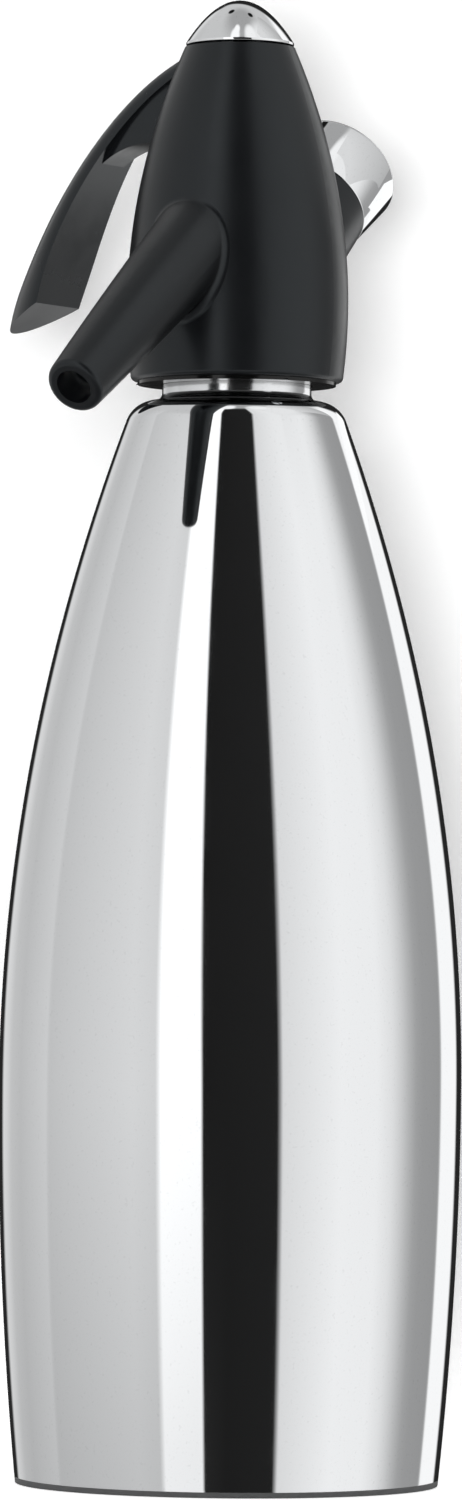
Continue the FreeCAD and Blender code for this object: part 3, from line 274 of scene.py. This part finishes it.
def with_thread(grid, crest, low, high, pitch, depth):
    """Winds a screw thread round a turned grid. Where a point lies on the crest's radius
    and between the two heights, it moves in by the depth times a wave of height over pitch
    less the turn, cut flat at top and bottom, which fades over a pitch at each end."""
    x, y, z = np.moveaxis(grid, -1, 0)
    radius = np.hypot(x, y)
    wave = np.clip(0.5 - 0.9 * np.cos(math.tau * (z - low) / pitch - np.arctan2(y, x)), 0.0, 1.0)
    fade = np.clip((z - low) / pitch, 0.0, 1.0) * np.clip((high - z) / pitch, 0.0, 1.0)
    share = np.where(np.abs(radius - crest) < 0.001, wave * fade, 0.0) * depth
    keep = 1.0 - share / np.maximum(radius, 0.001)
    return np.stack([x * keep, y * keep, z], axis=-1)


drop = np.linspace(1.0, 0.0, 12)
fillet = np.c_[NECK_RADIUS + NECK_FLARE * drop ** 2.2, SHOULDER + NECK_FLARE * 1.5 * (1.0 - drop)]
thread_rows = np.arange(*NECK_THREAD, 0.12)
neck_grid = with_thread(turned(np.vstack([
    [[NECK_BORE, SHOULDER - BOTTLE_SHEET - FLANGE_SHEET]],
    [[NECK_RADIUS + FLANGE_WIDTH, SHOULDER - BOTTLE_SHEET - FLANGE_SHEET]],
    [[NECK_RADIUS + FLANGE_WIDTH, SHOULDER - BOTTLE_SHEET]],
    [[NECK_RADIUS, SHOULDER - BOTTLE_SHEET]],
    [[NECK_RADIUS, SHOULDER]],
    fillet,
    np.c_[np.full(len(thread_rows), NECK_RADIUS), thread_rows],
    [[NECK_RADIUS, NECK_TOP - THREAD_BEVEL]],
    [[NECK_RADIUS - THREAD_BEVEL, NECK_TOP]],
    [[MOUTH_SEAT, NECK_TOP]],
    [[MOUTH_SEAT, NECK_TOP - MOUTH_DEPTH]],
    [[NECK_BORE, NECK_TOP - MOUTH_DEPTH]],
])), NECK_RADIUS, *NECK_THREAD, NECK_PITCH, NECK_THREAD_DEPTH)
turned_steel = polish(*finish("turned_steel", (0.77, 0.78, 0.79), 0.08, 1.0),
                      lines=6000.0, line_depth=0.0006, rough=(0.12, 0.18))
stand_in(closed_mesh("neck", neck_grid), "neck_ring", "bottle", turned_steel)

# ---- Filling tube, riser and its bush ----
# Food-safe white plastic, moulded: the tube that sets the fill level hangs in the neck, and
# the riser carries the drink up from the foot through its bush into the valve.

# The fine grain of a moulded surface: even, small noise, with a slow mottle from the flow.
moulded_grain, entry, result = effect("moulded_grain", {"Vector": None, "Grains per metre": 2600.0},
                                      ["Height", "Mottle"])
noise = add(moulded_grain, "TexNoise", {"Vector": entry.outputs["Vector"],
                                        "Scale": entry.outputs["Grains per metre"], "Detail": 3.0,
                                        "Roughness": 0.65})
moulded_grain.links.new(noise.outputs["Fac"], result.inputs["Height"])
slow = add(moulded_grain, "TexNoise", {"Vector": entry.outputs["Vector"], "Scale": 55.0, "Detail": 5.0,
                                       "Roughness": 0.6})
moulded_grain.links.new(slow.outputs["Fac"], result.inputs["Mottle"])


def mould(material, tree, shader, grains=2600.0, depth=0.008, rough=(0.38, 0.5), tint=0.82):
    """Grain in the normal, and mottle in the roughness and colour, of a moulded piece."""
    place = add(tree, "TexCoord", {})
    grain = add(tree, "Group", {"Vector": place.outputs["Object"], "Grains per metre": grains},
                node_tree=moulded_grain)
    bump = add(tree, "Bump", {"Height": grain.outputs["Height"], "Distance": depth * MM, "Strength": 1.0})
    tree.links.new(bump.outputs["Normal"], shader.inputs["Normal"])
    dull = add(tree, "MapRange", {"Value": grain.outputs["Mottle"], "From Min": 0.3, "From Max": 0.7,
                                  "To Min": rough[0], "To Max": rough[1]})
    tree.links.new(dull.outputs["Result"], shader.inputs["Roughness"])
    color = shader.inputs["Base Color"].default_value[:3]
    shade = add(tree, "Mix", {"Factor": grain.outputs["Mottle"], 6: (*color, 1.0),
                              7: (*(tint * tone for tone in color), 1.0)}, data_type="RGBA")
    tree.links.new(shade.outputs[2], shader.inputs["Base Color"])
    return material


white_plastic = mould(*finish("white_plastic", (0.80, 0.80, 0.77), 0.4), grains=1800.0, depth=0.004,
                      rough=(0.32, 0.44), tint=0.95)
dress(white_plastic, "filling_tube", "riser_tube", "riser_bush", "spout_tube")

# ---- Seals ----
# Black rubber rings: the gasket between neck and head, the ring on the riser, the valve's
# face, the stem's and spout's seals, the cap's disc, the charger's washer and check sleeve.

rubber = mould(*finish("seal_rubber", (0.045, 0.045, 0.046), 0.7), grains=1500.0, depth=0.012,
               rough=(0.6, 0.8), tint=1.3)
dress(rubber, "head_gasket", "riser_seal", "valve_seal", "stem_seal", "spout_seal", "cap_seal",
      "charger_washer", "check_sleeve")

# ---- Valve body ----
# A die casting under the head's shell, with the valve's chambers bored in it and an arm to
# the spout and to the gas inlet. Its skin is faintly pebbled and duller in the hollows.

cast_metal = mould(*finish("die_casting", (0.58, 0.59, 0.61), 0.4, 1.0), grains=1100.0, depth=0.02,
                   rough=(0.34, 0.5), tint=0.88)
dress(cast_metal, "valve_body")

# ---- Brass fittings ----
# Turned brass: the gland nut over the stem's seal, and the relief valve's nut on its disc.

turned_brass = polish(*finish("turned_brass", (0.72, 0.53, 0.25), 0.2, 1.0), lines=3500.0, line_depth=0.003,
                      rough=(0.16, 0.3))
dress(turned_brass, "gland_nut", "relief_disc", "relief_nut")

# ---- Steel fittings ----
# Bright drawn and turned steel: the valve's stem and spring, the lever's pin, the piercing
# pin of the gas inlet and the screws of the thread collar.

bright_steel = polish(*finish("bright_steel", (0.62, 0.62, 0.63), 0.2, 1.0), lines=4500.0,
                      line_depth=0.002, rough=(0.14, 0.24))
dress(bright_steel, "valve_stem", "valve_spring", "lever_pin", "piercing_pin", "collar_screws")

# ---- Head, thread collar and button ----
# The head is moulded in one with the spout, in satin black plastic with a fine spark-eroded
# grain, and so is the button on the stem. The collar that screws on the neck is the same
# plastic from a polished mould.

PLASTIC_TINT = (0.88, 0.96, 1.0, 1.0)
satin_black, tree, shader = finish("satin_black", (0.003, 0.0032, 0.004), 0.38)
mould(satin_black, tree, shader, rough=(0.29, 0.37))
shader.inputs["Specular IOR Level"].default_value = 0.42
shader.inputs["Specular Tint"].default_value = PLASTIC_TINT
dress(satin_black, "head_housing", "stem_button")
gloss_black, tree, shader = finish("gloss_black", (0.003, 0.003, 0.003), 0.15)
mould(gloss_black, tree, shader, depth=0.001, rough=(0.1, 0.18))
shader.inputs["Specular IOR Level"].default_value = 0.3
dress(gloss_black, "thread_collar")

# ---- Lever ----
# The same black plastic, worn a little smoother where fingers pull the grip. The wear is a
# soft ball of space round the grip's middle, broken up by smears.

GRIP_MIDDLE = (-36.0, 0.0, 282.0)
GRIP_REACH = 34.0
GRIP_WEAR = 0.3
handled_black, tree, shader = finish("handled_black", (0.003, 0.0032, 0.004), 0.36)
mould(handled_black, tree, shader, rough=(0.29, 0.37))
shader.inputs["Specular IOR Level"].default_value = 0.44
shader.inputs["Specular Tint"].default_value = PLASTIC_TINT
place = add(tree, "TexCoord", {})
offset = add(tree, "VectorMath", {0: place.outputs["Object"], 1: tuple(side * MM for side in GRIP_MIDDLE)},
             operation="DISTANCE")
near = add(tree, "MapRange", {"Value": offset.outputs["Value"], "From Min": GRIP_REACH * MM,
                              "From Max": GRIP_REACH * MM * 0.2}, interpolation_type="SMOOTHSTEP")
touch = add(tree, "Group", {"Vector": place.outputs["Object"], "Smears per metre": 90.0}, node_tree=smears)
worn = add(tree, "Math", {0: near.outputs["Result"], 1: touch.outputs["Smears"]}, operation="MULTIPLY")
grained = shader.inputs["Roughness"].links[0].from_socket
smooth = add(tree, "Math", {0: worn.outputs[0], 1: -GRIP_WEAR, 2: grained}, operation="MULTIPLY_ADD")
tree.links.new(smooth.outputs[0], shader.inputs["Roughness"])
dress(handled_black, "lever")

# ---- Dome ----
# A plated crown that snaps into the top of the head with a hollow plug. Its outline is a
# parabola on a thin upright rim, and a hair's gap is left under it.

DOME_RADIUS = 11.7
DOME_FOOT = 311.4
DOME_RIM = 0.5
DOME_RISE = 9.3
DOME_EDGE = 0.15
PLUG_RADIUS = 9.1
PLUG_DEPTH = 3.0
PLUG_WALL = 2.0
PLUG_SHOULDER = 311.05
PLUG_EDGE = 0.2


def rounded(corners, steps=7):
    """An outline through corners (radius, height, rounding). A corner with a rounding is
    replaced by the arc that touches both of its sides: it starts at the rounding over the
    tangent of half the corner's angle, and its middle lies on the line that halves it."""
    points = np.array([corner[:2] for corner in corners], float)
    before = np.roll(points, 1, axis=0)
    after = np.roll(points, -1, axis=0)
    outline = []
    for point, back, ahead, (_, _, size) in zip(points, before, after, corners):
        if not size:
            outline.append(point[None])
            continue
        inward = (back - point) / np.linalg.norm(back - point)
        onward = (ahead - point) / np.linalg.norm(ahead - point)
        half = math.acos(float(np.dot(inward, onward))) / 2
        halver = (inward + onward) / np.linalg.norm(inward + onward)
        middle = point + halver * size / math.sin(half)
        start = point + inward * size / math.tan(half) - middle
        end = point + onward * size / math.tan(half) - middle
        share = np.linspace(0.0, 1.0, steps)[:, None]
        spread = math.pi - half * 2
        arc = (start * np.sin((1 - share) * spread) + end * np.sin(share * spread)) / math.sin(spread)
        outline.append(middle + arc)
    return np.vstack(outline)


span = np.linspace(0.0, 1.0, 90)[:-1]
crown = np.c_[DOME_RADIUS * span, DOME_FOOT + DOME_RIM + DOME_RISE * (1.0 - span ** 2)]
skirt = rounded([
    (*crown[-1], 0.0),
    (DOME_RADIUS, DOME_FOOT + DOME_RIM, DOME_EDGE),
    (DOME_RADIUS, DOME_FOOT, DOME_EDGE),
    (PLUG_RADIUS, PLUG_SHOULDER, 0.0),
    (PLUG_RADIUS, DOME_FOOT - PLUG_DEPTH, PLUG_EDGE),
    (PLUG_RADIUS - PLUG_WALL, DOME_FOOT - PLUG_DEPTH, PLUG_EDGE),
    (PLUG_RADIUS - PLUG_WALL, DOME_FOOT + DOME_RIM, 0.0),
    (0.0, DOME_FOOT + DOME_RIM, 0.0),
])
dome = closed_mesh("dome", turned(np.vstack([crown[:-1], skirt])))
plating = polish(*finish("plating", (0.82, 0.83, 0.84), 0.03, 1.0), lines=12000.0, line_depth=0.00008,
                 rough=(0.025, 0.045))
stand_in(dome, "top_dome", "head", plating)

# ---- Gas inlet nipple ----
# Turned brass, screwed into the valve body's arm. The charger's neck goes into its end, and
# its outside carries the fine thread for the cap. Heights run along its own leaning axis.

INLET_CROSS = 252.8
INLET_TURN = 39.2 - 90.0
NIPPLE_RADIUS = 9.6
NIPPLE_END = 52.3
NIPPLE_THREAD = (42.3, 51.6)
NIPPLE_PITCH = 1.5
NIPPLE_THREAD_DEPTH = 0.4
SHANK_START = 14.5
SHANK_RADIUS = 5.0
BARREL_START = 22.0
BARREL_RADIUS = 8.2
SHOULDER_START = 41.5
SLEEVE_SEAT_RADIUS = 2.0
SLEEVE_SEAT_END = 20.5
GAS_BORE = 1.2
PIN_SEAT_RADIUS = 1.6
PIN_SEAT_START = 39.5
SOCKET_RADIUS = 4.6
SOCKET_START = 43.5


def on_inlet(grid):
    """Leans a turned grid about X by the inlet's turn, and lifts it to where the inlet's
    axis crosses the bottle's."""
    turn = math.radians(INLET_TURN)
    x, y, z = np.moveaxis(grid, -1, 0)
    return np.stack([
        x,
        y * math.cos(turn) - z * math.sin(turn),
        y * math.sin(turn) + z * math.cos(turn) + INLET_CROSS,
    ], axis=-1)


thread_rows = np.arange(*NIPPLE_THREAD, 0.1)
nipple_grid = with_thread(turned(np.vstack([
    [[SLEEVE_SEAT_RADIUS, SHANK_START]],
    [[SHANK_RADIUS, SHANK_START]],
    [[SHANK_RADIUS, BARREL_START]],
    [[BARREL_RADIUS, BARREL_START]],
    [[BARREL_RADIUS, SHOULDER_START]],
    [[NIPPLE_RADIUS, SHOULDER_START]],
    np.c_[np.full(len(thread_rows), NIPPLE_RADIUS), thread_rows],
    [[NIPPLE_RADIUS, NIPPLE_END - THREAD_BEVEL]],
    [[NIPPLE_RADIUS - THREAD_BEVEL, NIPPLE_END]],
    [[SOCKET_RADIUS, NIPPLE_END]],
    [[SOCKET_RADIUS, SOCKET_START]],
    [[PIN_SEAT_RADIUS, SOCKET_START]],
    [[PIN_SEAT_RADIUS, PIN_SEAT_START]],
    [[GAS_BORE, PIN_SEAT_START]],
    [[GAS_BORE, SLEEVE_SEAT_END]],
    [[SLEEVE_SEAT_RADIUS, SLEEVE_SEAT_END]],
]), columns=192), NIPPLE_RADIUS, *NIPPLE_THREAD, NIPPLE_PITCH, NIPPLE_THREAD_DEPTH)
inlet_brass = polish(*finish("inlet_brass", (0.72, 0.53, 0.25), 0.18, 1.0), turn=INLET_TURN,
                     lift=INLET_CROSS, lines=3500.0, line_depth=0.002, rough=(0.12, 0.24))
stand_in(closed_mesh("nipple", on_inlet(nipple_grid)), "inlet_nipple", "head", inlet_brass)

# ---- Inlet cap ----
# A plated cap, a little wider at its outer end, with a rounded edge there and a seal inside.
# It screws on the nipple and closes the charger's socket.

CAP_FOOT = 41.8
CAP_END = 56.2
CAP_FOOT_RADIUS = 12.2
CAP_END_RADIUS = 13.8
CAP_BORE = 9.9
CAP_WALL = 1.4
CAP_MOUTH_EDGE = 0.2
CAP_FOOT_EDGE = 0.3
CAP_END_EDGE = 1.0
cap_outline = rounded([
    (0.0, CAP_END, 0.0),
    (0.0, CAP_END - CAP_WALL, 0.0),
    (CAP_BORE, CAP_END - CAP_WALL, 0.0),
    (CAP_BORE, CAP_FOOT, CAP_MOUTH_EDGE),
    (CAP_FOOT_RADIUS, CAP_FOOT, CAP_FOOT_EDGE),
    (CAP_END_RADIUS, CAP_END, CAP_END_EDGE),
])
cap_plating = polish(*finish("cap_plating", (0.82, 0.83, 0.84), 0.03, 1.0), turn=INLET_TURN,
                     lift=INLET_CROSS, lines=12000.0, line_depth=0.00008, rough=(0.025, 0.045))
stand_in(closed_mesh("cap", on_inlet(turned(cap_outline))), "inlet_cap", "inlet_cap",
         cap_plating)

# ---- Floor and wall ----
# A pale table, and behind the siphon a pale sheet that curves up from it. Both take the
# siphon's shadow. The sheet shows its front only, so it never hides the siphon.

VIEW_AZIMUTH = math.radians(30.3)
to_right = np.array([math.cos(VIEW_AZIMUTH), math.sin(VIEW_AZIMUTH), 0.0])
to_back = np.array([-math.sin(VIEW_AZIMUTH), math.cos(VIEW_AZIMUTH), 0.0])
FLOOR_DROP = 0.1
FLOOR_REACH = 6000.0
SHEET_FOOT = 55.0
SHEET_BEND = 60.0
SHEET_HEIGHT = 1500.0
SHEET_HALF_WIDTH = 1500.0
PAPER_GREY = (0.86, 0.86, 0.86)
PAPER_LIFT = 0.17
FLAT_LIFT = 0.42


def open_sheet(name, grid):
    """A mesh from a grid with open edges, as four-sided faces between neighbours."""
    rows, columns = grid.shape[:2]
    corner = np.arange(rows * columns).reshape(rows, columns)
    faces = np.stack([corner[:-1, :-1], corner[:-1, 1:], corner[1:, 1:], corner[1:, :-1]], axis=-1)
    mesh = bpy.data.meshes.new(name)
    mesh.from_pydata((grid.reshape(-1, 3) * MM).tolist(), [], faces.reshape(-1, 4).tolist())
    mesh.polygons.foreach_set("use_smooth", np.ones(len(mesh.polygons), bool))
    made = bpy.data.objects.new(name, mesh)
    bpy.context.scene.collection.objects.link(made)
    made.visible_glossy = False
    return made


def only_mirrored(made):
    """Lets reflections alone show a sheet."""
    made.visible_glossy = True
    made.visible_camera = False
    made.visible_shadow = False
    made.visible_diffuse = False


def backdrop(name, color, lift, one_sided):
    """A matt stage finish. The camera sees it lighter by a lift, and where it lies flat by
    a further one, so that where the lamp reaches it fully it is white. A one-sided sheet
    lets through what is seen from behind it."""
    material = bpy.data.materials.new(name)
    material.use_nodes = True
    tree = material.node_tree
    tree.nodes.clear()
    output = tree.nodes.new("ShaderNodeOutputMaterial")
    paper = add(tree, "TexNoise", {"Scale": 700.0, "Detail": 3.0})
    fibre = add(tree, "Bump", {"Height": paper.outputs["Fac"], "Distance": 0.00002})
    matt = add(tree, "BsdfDiffuse", {"Color": (*color, 1.0), "Normal": fibre.outputs["Normal"]})
    path = add(tree, "LightPath", {})
    side = add(tree, "NewGeometry", {})
    upright = add(tree, "SeparateXYZ", {"Vector": side.outputs["True Normal"]})
    flatness = add(tree, "Math", {0: upright.outputs["Z"], 1: FLAT_LIFT, 2: lift}, operation="MULTIPLY_ADD")
    strength = add(tree, "Math", {0: path.outputs["Is Camera Ray"], 1: flatness.outputs[0]},
                   operation="MULTIPLY")
    glow = add(tree, "Emission", {"Strength": strength.outputs[0]})
    both = add(tree, "AddShader", {0: matt.outputs[0], 1: glow.outputs[0]})
    surface = both.outputs[0]
    if one_sided:
        clear = add(tree, "BsdfTransparent", {})
        surface = add(tree, "MixShader", {0: side.outputs["Backfacing"], 1: surface,
                                          2: clear.outputs[0]}).outputs[0]
    tree.links.new(surface, output.inputs["Surface"])
    return material


reach = np.array([-FLOOR_REACH, FLOOR_REACH])
across, along = np.meshgrid(reach, reach)
floor = open_sheet("floor", np.stack([across, along, np.full_like(across, -FLOOR_DROP)], axis=-1))
floor.data.materials.append(backdrop("table_top", PAPER_GREY, PAPER_LIFT, False))

# Painted shade: a dark disc just above the table that only reflections show. It stands in for
# the table's shade where the bottle stands over it, so the foot's rounded edge mirrors it dark.
# The camera sees the table itself there.
turn = np.linspace(0.0, math.tau, 97)
reach = np.array([1.0, BOTTLE_RADIUS])[:, None]
near_level = np.full((len(reach), len(turn)), -FLOOR_DROP / 2)
near_grid = np.stack([reach * np.cos(turn), reach * np.sin(turn), near_level], axis=-1)
foot_shade_disc = open_sheet("painted_foot_shade", near_grid)
only_mirrored(foot_shade_disc)
# The disc's dark grey is painted shade, not a colour the table has.
foot_shade_disc.data.materials.append(backdrop("painted_foot_shade", (0.2, 0.2, 0.2), PAPER_LIFT, False))

bend = np.linspace(0.0, math.pi / 2, 24)
rise = np.r_[SHEET_BEND * (1.0 - np.cos(bend)), SHEET_HEIGHT]
back = np.r_[SHEET_FOOT + SHEET_BEND * np.sin(bend), SHEET_FOOT + SHEET_BEND]
side = np.array([-SHEET_HALF_WIDTH, SHEET_HALF_WIDTH])
sheet_grid = (back[:, None, None] * to_back + side[None, :, None] * to_right
              + (rise - FLOOR_DROP)[:, None, None] * np.array([0.0, 0.0, 1.0]))
sheet = open_sheet("sheet", sheet_grid)
sheet.data.materials.append(backdrop("paper_sheet", PAPER_GREY, PAPER_LIFT, True))

# ---- Light ----
# A soft lamp from the front left makes the shadow. The world gives an even level to all that
# is matt, and gives reflections the studio: upright bands of light and dark by their azimuth
# from the viewing side, a grey ceiling, a table and round patches. Angles are in degrees.

LAMP_PLACE = (-115.0, 1900.0, 165.0)
LAMP_AIM = (0.0, 0.0, 190.0)
LAMP_SIZE = 330.0
LAMP_POWER = 20.0
BANDS = [
    (-180.0, 0.02), (-158.5, 0.02), (-154.0, 0.80), (-147.0, 0.75), (-140.0, 0.64), (-128.0, 0.61),
    (-104.0, 0.74), (-102.0, 0.65), (-50.0, 0.83), (-37.0, 0.79), (-36.0, 1.35), (-15.3, 1.30),
    (-14.5, 0.014), (23.5, 0.018), (24.5, 0.85), (56.0, 1.06), (78.0, 1.04), (88.0, 0.91), (94.0, 0.75),
    (100.0, 0.57), (106.0, 0.43), (112.0, 0.385), (129.0, 0.36), (131.0, 1.15), (152.5, 1.10),
    (155.5, 0.02), (180.0, 0.02),
]
LEAN = (0.9, -0.12)
CEILING = (36.0, 47.0, 0.65)
ZENITH = (62.0, 80.0, 0.42)
FRONT_LIFT = 29.0
TABLES = [(-17.0, -27.0, 1.0), (-32.0, -45.0, 0.25)]
PATCHES = [
    (172.0, 34.0, 17.0, 23.0, 0.02), (68.0, 54.0, 8.0, 24.0, 0.97), (46.0, 70.0, 4.0, 10.0, 1.05),
    (-23.0, 71.0, 4.0, 8.0, 1.15), (-20.0, 77.0, 2.0, 5.0, 1.15), (-141.0, 70.0, 3.0, 5.0, 0.01),
    (124.0, 73.0, 2.6, 4.2, 0.01),
]
LEFT_FADE = (-1.0, -14.0, 0.22)
LEFT_FADE_SHADE = 0.06
MATT_LEVEL = 0.58
CARD_NEAR = -10.0
CARD_FAR = 66.0
NEAR_CARDS = [
    ("grey_card", [[(110, -10, 330), (110, 66, 281)], [(110, -45, 560), (110, 66, 560)]], (0.82, 0.52)),
    ("white_card", [[(70, 110, 255), (172, 110, 255)], [(70, 110, 281), (172, 110, 281)]], (1.2, 1.2)),
]

lamp_data = bpy.data.lights.new("key_lamp", "AREA")
lamp_data.shape = "DISK"
lamp_data.size = LAMP_SIZE * MM
lamp_data.energy = LAMP_POWER
lamp = bpy.data.objects.new("key_lamp", lamp_data)
bpy.context.scene.collection.objects.link(lamp)
lamp_place = (LAMP_PLACE[0] * to_right - LAMP_PLACE[1] * to_back + np.array([0.0, 0.0, LAMP_PLACE[2]])) * MM
lamp.location = lamp_place.tolist()
aim = Vector((np.array(LAMP_AIM) * MM - lamp_place).tolist())
lamp.rotation_mode = "QUATERNION"
lamp.rotation_quaternion = aim.to_track_quat("-Z", "Y")
lamp.visible_glossy = False

# Two cards stand clear of the siphon, like a studio's reflectors, and only reflections show
# them: a grey one on the right and a low white one behind it. Corners are (right, back,
# height), and a card's shade goes from its near one to its far one between two depths.
for name, corners, (near_shade, far_shade) in NEAR_CARDS:
    grid = np.array([[place[0] * to_right + place[1] * to_back + [0.0, 0.0, place[2]] for place in row]
                     for row in corners])
    card = open_sheet(name, grid)
    only_mirrored(card)
    material = bpy.data.materials.new(name)
    material.use_nodes = True
    tree = material.node_tree
    tree.nodes.clear()
    place = add(tree, "TexCoord", {})
    depth = add(tree, "VectorMath", {0: place.outputs["Object"], 1: tuple(to_back)}, operation="DOT_PRODUCT")
    level = add(tree, "MapRange", {"Value": depth.outputs["Value"], "From Min": CARD_NEAR * MM,
                                   "From Max": CARD_FAR * MM, "To Min": near_shade, "To Max": far_shade})
    glow = add(tree, "Emission", {"Strength": level.outputs["Result"]})
    tree.links.new(glow.outputs[0], tree.nodes.new("ShaderNodeOutputMaterial").inputs["Surface"])
    card.data.materials.append(material)

world = bpy.data.worlds.new("studio")
bpy.context.scene.world = world
world.use_nodes = True
tree = world.node_tree
tree.nodes.clear()
output = tree.nodes.new("ShaderNodeOutputWorld")
direction = add(tree, "TexCoord", {}).outputs["Generated"]
rightness = add(tree, "VectorMath", {0: direction, 1: tuple(to_right)}, operation="DOT_PRODUCT")
nearness = add(tree, "VectorMath", {0: direction, 1: tuple(-to_back)}, operation="DOT_PRODUCT")
azimuth = add(tree, "Math", {0: rightness.outputs["Value"], 1: nearness.outputs["Value"]},
              operation="ARCTAN2")
height = add(tree, "SeparateXYZ", {"Vector": direction})
elevation = add(tree, "Math", {0: height.outputs["Z"]}, operation="ARCSINE")
facing = add(tree, "Math", {0: azimuth.outputs[0]}, operation="COSINE")

# The front bands lean: they are shifted by the first value of LEAN, and by the second for
# each degree of elevation.
lean = add(tree, "Math", {0: elevation.outputs[0], 1: -LEAN[1], 2: -math.radians(LEAN[0])},
           operation="MULTIPLY_ADD")
front = add(tree, "Math", {0: facing.outputs[0], 1: 0.0}, operation="MAXIMUM")
upright = add(tree, "Math", {0: lean.outputs[0], 1: front.outputs[0], 2: azimuth.outputs[0]},
              operation="MULTIPLY_ADD")
turn_share = add(tree, "Math", {0: upright.outputs[0], 1: 1.0 / math.tau, 2: 0.5}, operation="MULTIPLY_ADD")
bands = add(tree, "ValToRGB", {"Fac": turn_share.outputs[0]})
stops = bands.color_ramp.elements
while len(stops) < len(BANDS):
    stops.new(1.0)
for stop, (degrees, shade) in zip(stops, BANDS):
    stop.position = degrees / 360.0 + 0.5
    stop.color = (shade, shade, shade, 1.0)

# Towards their feet the bands on the left fade a little: from and to these elevations, by
# this share.
fade_from, fade_to, fade_share = LEFT_FADE
low = add(tree, "MapRange", {"Value": elevation.outputs[0], "From Min": math.radians(fade_from),
                             "From Max": math.radians(fade_to), "To Max": fade_share})
leftward = add(tree, "MapRange", {"Value": rightness.outputs["Value"], "From Min": 0.0, "From Max": -0.25})
fade = add(tree, "Math", {0: low.outputs["Result"], 1: leftward.outputs["Result"]}, operation="MULTIPLY")
room = add(tree, "Mix", {"Factor": fade.outputs[0], 6: bands.outputs["Color"],
                         7: (LEFT_FADE_SHADE, LEFT_FADE_SHADE, LEFT_FADE_SHADE, 1.0)}, data_type="RGBA")

# The ceiling starts higher in front, and is darker overhead. The table is below.
forward = add(tree, "MapRange", {"Value": facing.outputs[0], "From Min": 0.55, "From Max": 0.9,
                                 "To Max": -math.radians(FRONT_LIFT)})
lifted = add(tree, "Math", {0: elevation.outputs[0], 1: forward.outputs["Result"]}, operation="ADD")
for first, last, shade in [CEILING, ZENITH] + TABLES:
    level = lifted if first == CEILING[0] else elevation
    share = add(tree, "MapRange", {"Value": level.outputs[0], "From Min": math.radians(first),
                                   "From Max": math.radians(last)}, interpolation_type="SMOOTHSTEP")
    room = add(tree, "Mix", {"Factor": share.outputs["Result"], 6: room.outputs[2],
                             7: (shade, shade, shade, 1.0)}, data_type="RGBA")

# Round patches: azimuth, elevation, inner and outer radius, shade.
for patch_azimuth, patch_elevation, inner, outer, shade in PATCHES:
    turn = math.radians(patch_azimuth)
    level = math.cos(math.radians(patch_elevation))
    heading = (to_right * math.sin(turn) - to_back * math.cos(turn)) * level
    heading[2] = math.sin(math.radians(patch_elevation))
    nearby = add(tree, "VectorMath", {0: direction, 1: heading.tolist()}, operation="DOT_PRODUCT")
    share = add(tree, "MapRange", {"Value": nearby.outputs["Value"],
                                   "From Min": math.cos(math.radians(outer)),
                                   "From Max": math.cos(math.radians(inner))},
                interpolation_type="SMOOTHSTEP")
    room = add(tree, "Mix", {"Factor": share.outputs["Result"], 6: room.outputs[2],
                             7: (shade, shade, shade, 1.0)}, data_type="RGBA")
path = add(tree, "LightPath", {})
mirrored = add(tree, "Math", {0: path.outputs["Is Glossy Ray"], 1: path.outputs["Is Transmission Ray"]},
               operation="MAXIMUM")
matt_or_room = add(tree, "Mix", {"Factor": mirrored.outputs[0], 6: (MATT_LEVEL, MATT_LEVEL, MATT_LEVEL, 1.0),
                                 7: room.outputs[2]}, data_type="RGBA")
seen = add(tree, "Mix", {"Factor": path.outputs["Is Camera Ray"], 6: matt_or_room.outputs[2],
                         7: (1.0, 1.0, 1.0, 1.0)}, data_type="RGBA")
background = add(tree, "Background", {"Color": seen.outputs[2], "Strength": 1.0})
tree.links.new(background.outputs[0], output.inputs["Surface"])

# ---- Camera ----
# A long lens, a little over a metre and a half away and a third of the way up the bottle,
# tipped up slightly and rolled by half a degree.

CAMERA_DISTANCE = 1694.8
CAMERA_HEIGHT = 115.7
CAMERA_TIP = math.radians(1.447)
CAMERA_ROLL = math.radians(0.556)
CAMERA_AIM_LEFT = math.radians(0.01683)
LENS = 187.92

upward = np.array([0.0, 0.0, 1.0])
ahead = to_back * math.cos(CAMERA_TIP) + upward * math.sin(CAMERA_TIP)
top = upward * math.cos(CAMERA_TIP) - to_back * math.sin(CAMERA_TIP)
look = ahead * math.cos(CAMERA_AIM_LEFT) - to_right * math.sin(CAMERA_AIM_LEFT)
right = to_right * math.cos(CAMERA_AIM_LEFT) + ahead * math.sin(CAMERA_AIM_LEFT)
rolled_right = right * math.cos(CAMERA_ROLL) + top * math.sin(CAMERA_ROLL)
rolled_top = top * math.cos(CAMERA_ROLL) - right * math.sin(CAMERA_ROLL)
stand = (-to_back * CAMERA_DISTANCE + upward * CAMERA_HEIGHT) * MM
pose = np.eye(4)
pose[:3, 0] = rolled_right
pose[:3, 1] = rolled_top
pose[:3, 2] = -look
pose[:3, 3] = stand
camera_data = bpy.data.cameras.new("camera")
camera_data.lens = LENS
camera_data.sensor_width = 36.0
camera_data.clip_start = 0.05
camera_data.clip_end = 50.0
camera = bpy.data.objects.new("camera", camera_data)
bpy.context.scene.collection.objects.link(camera)
camera.matrix_world = pose.T.tolist()
bpy.context.scene.camera = camera
bpy.context.scene.view_settings.view_transform = "Standard"
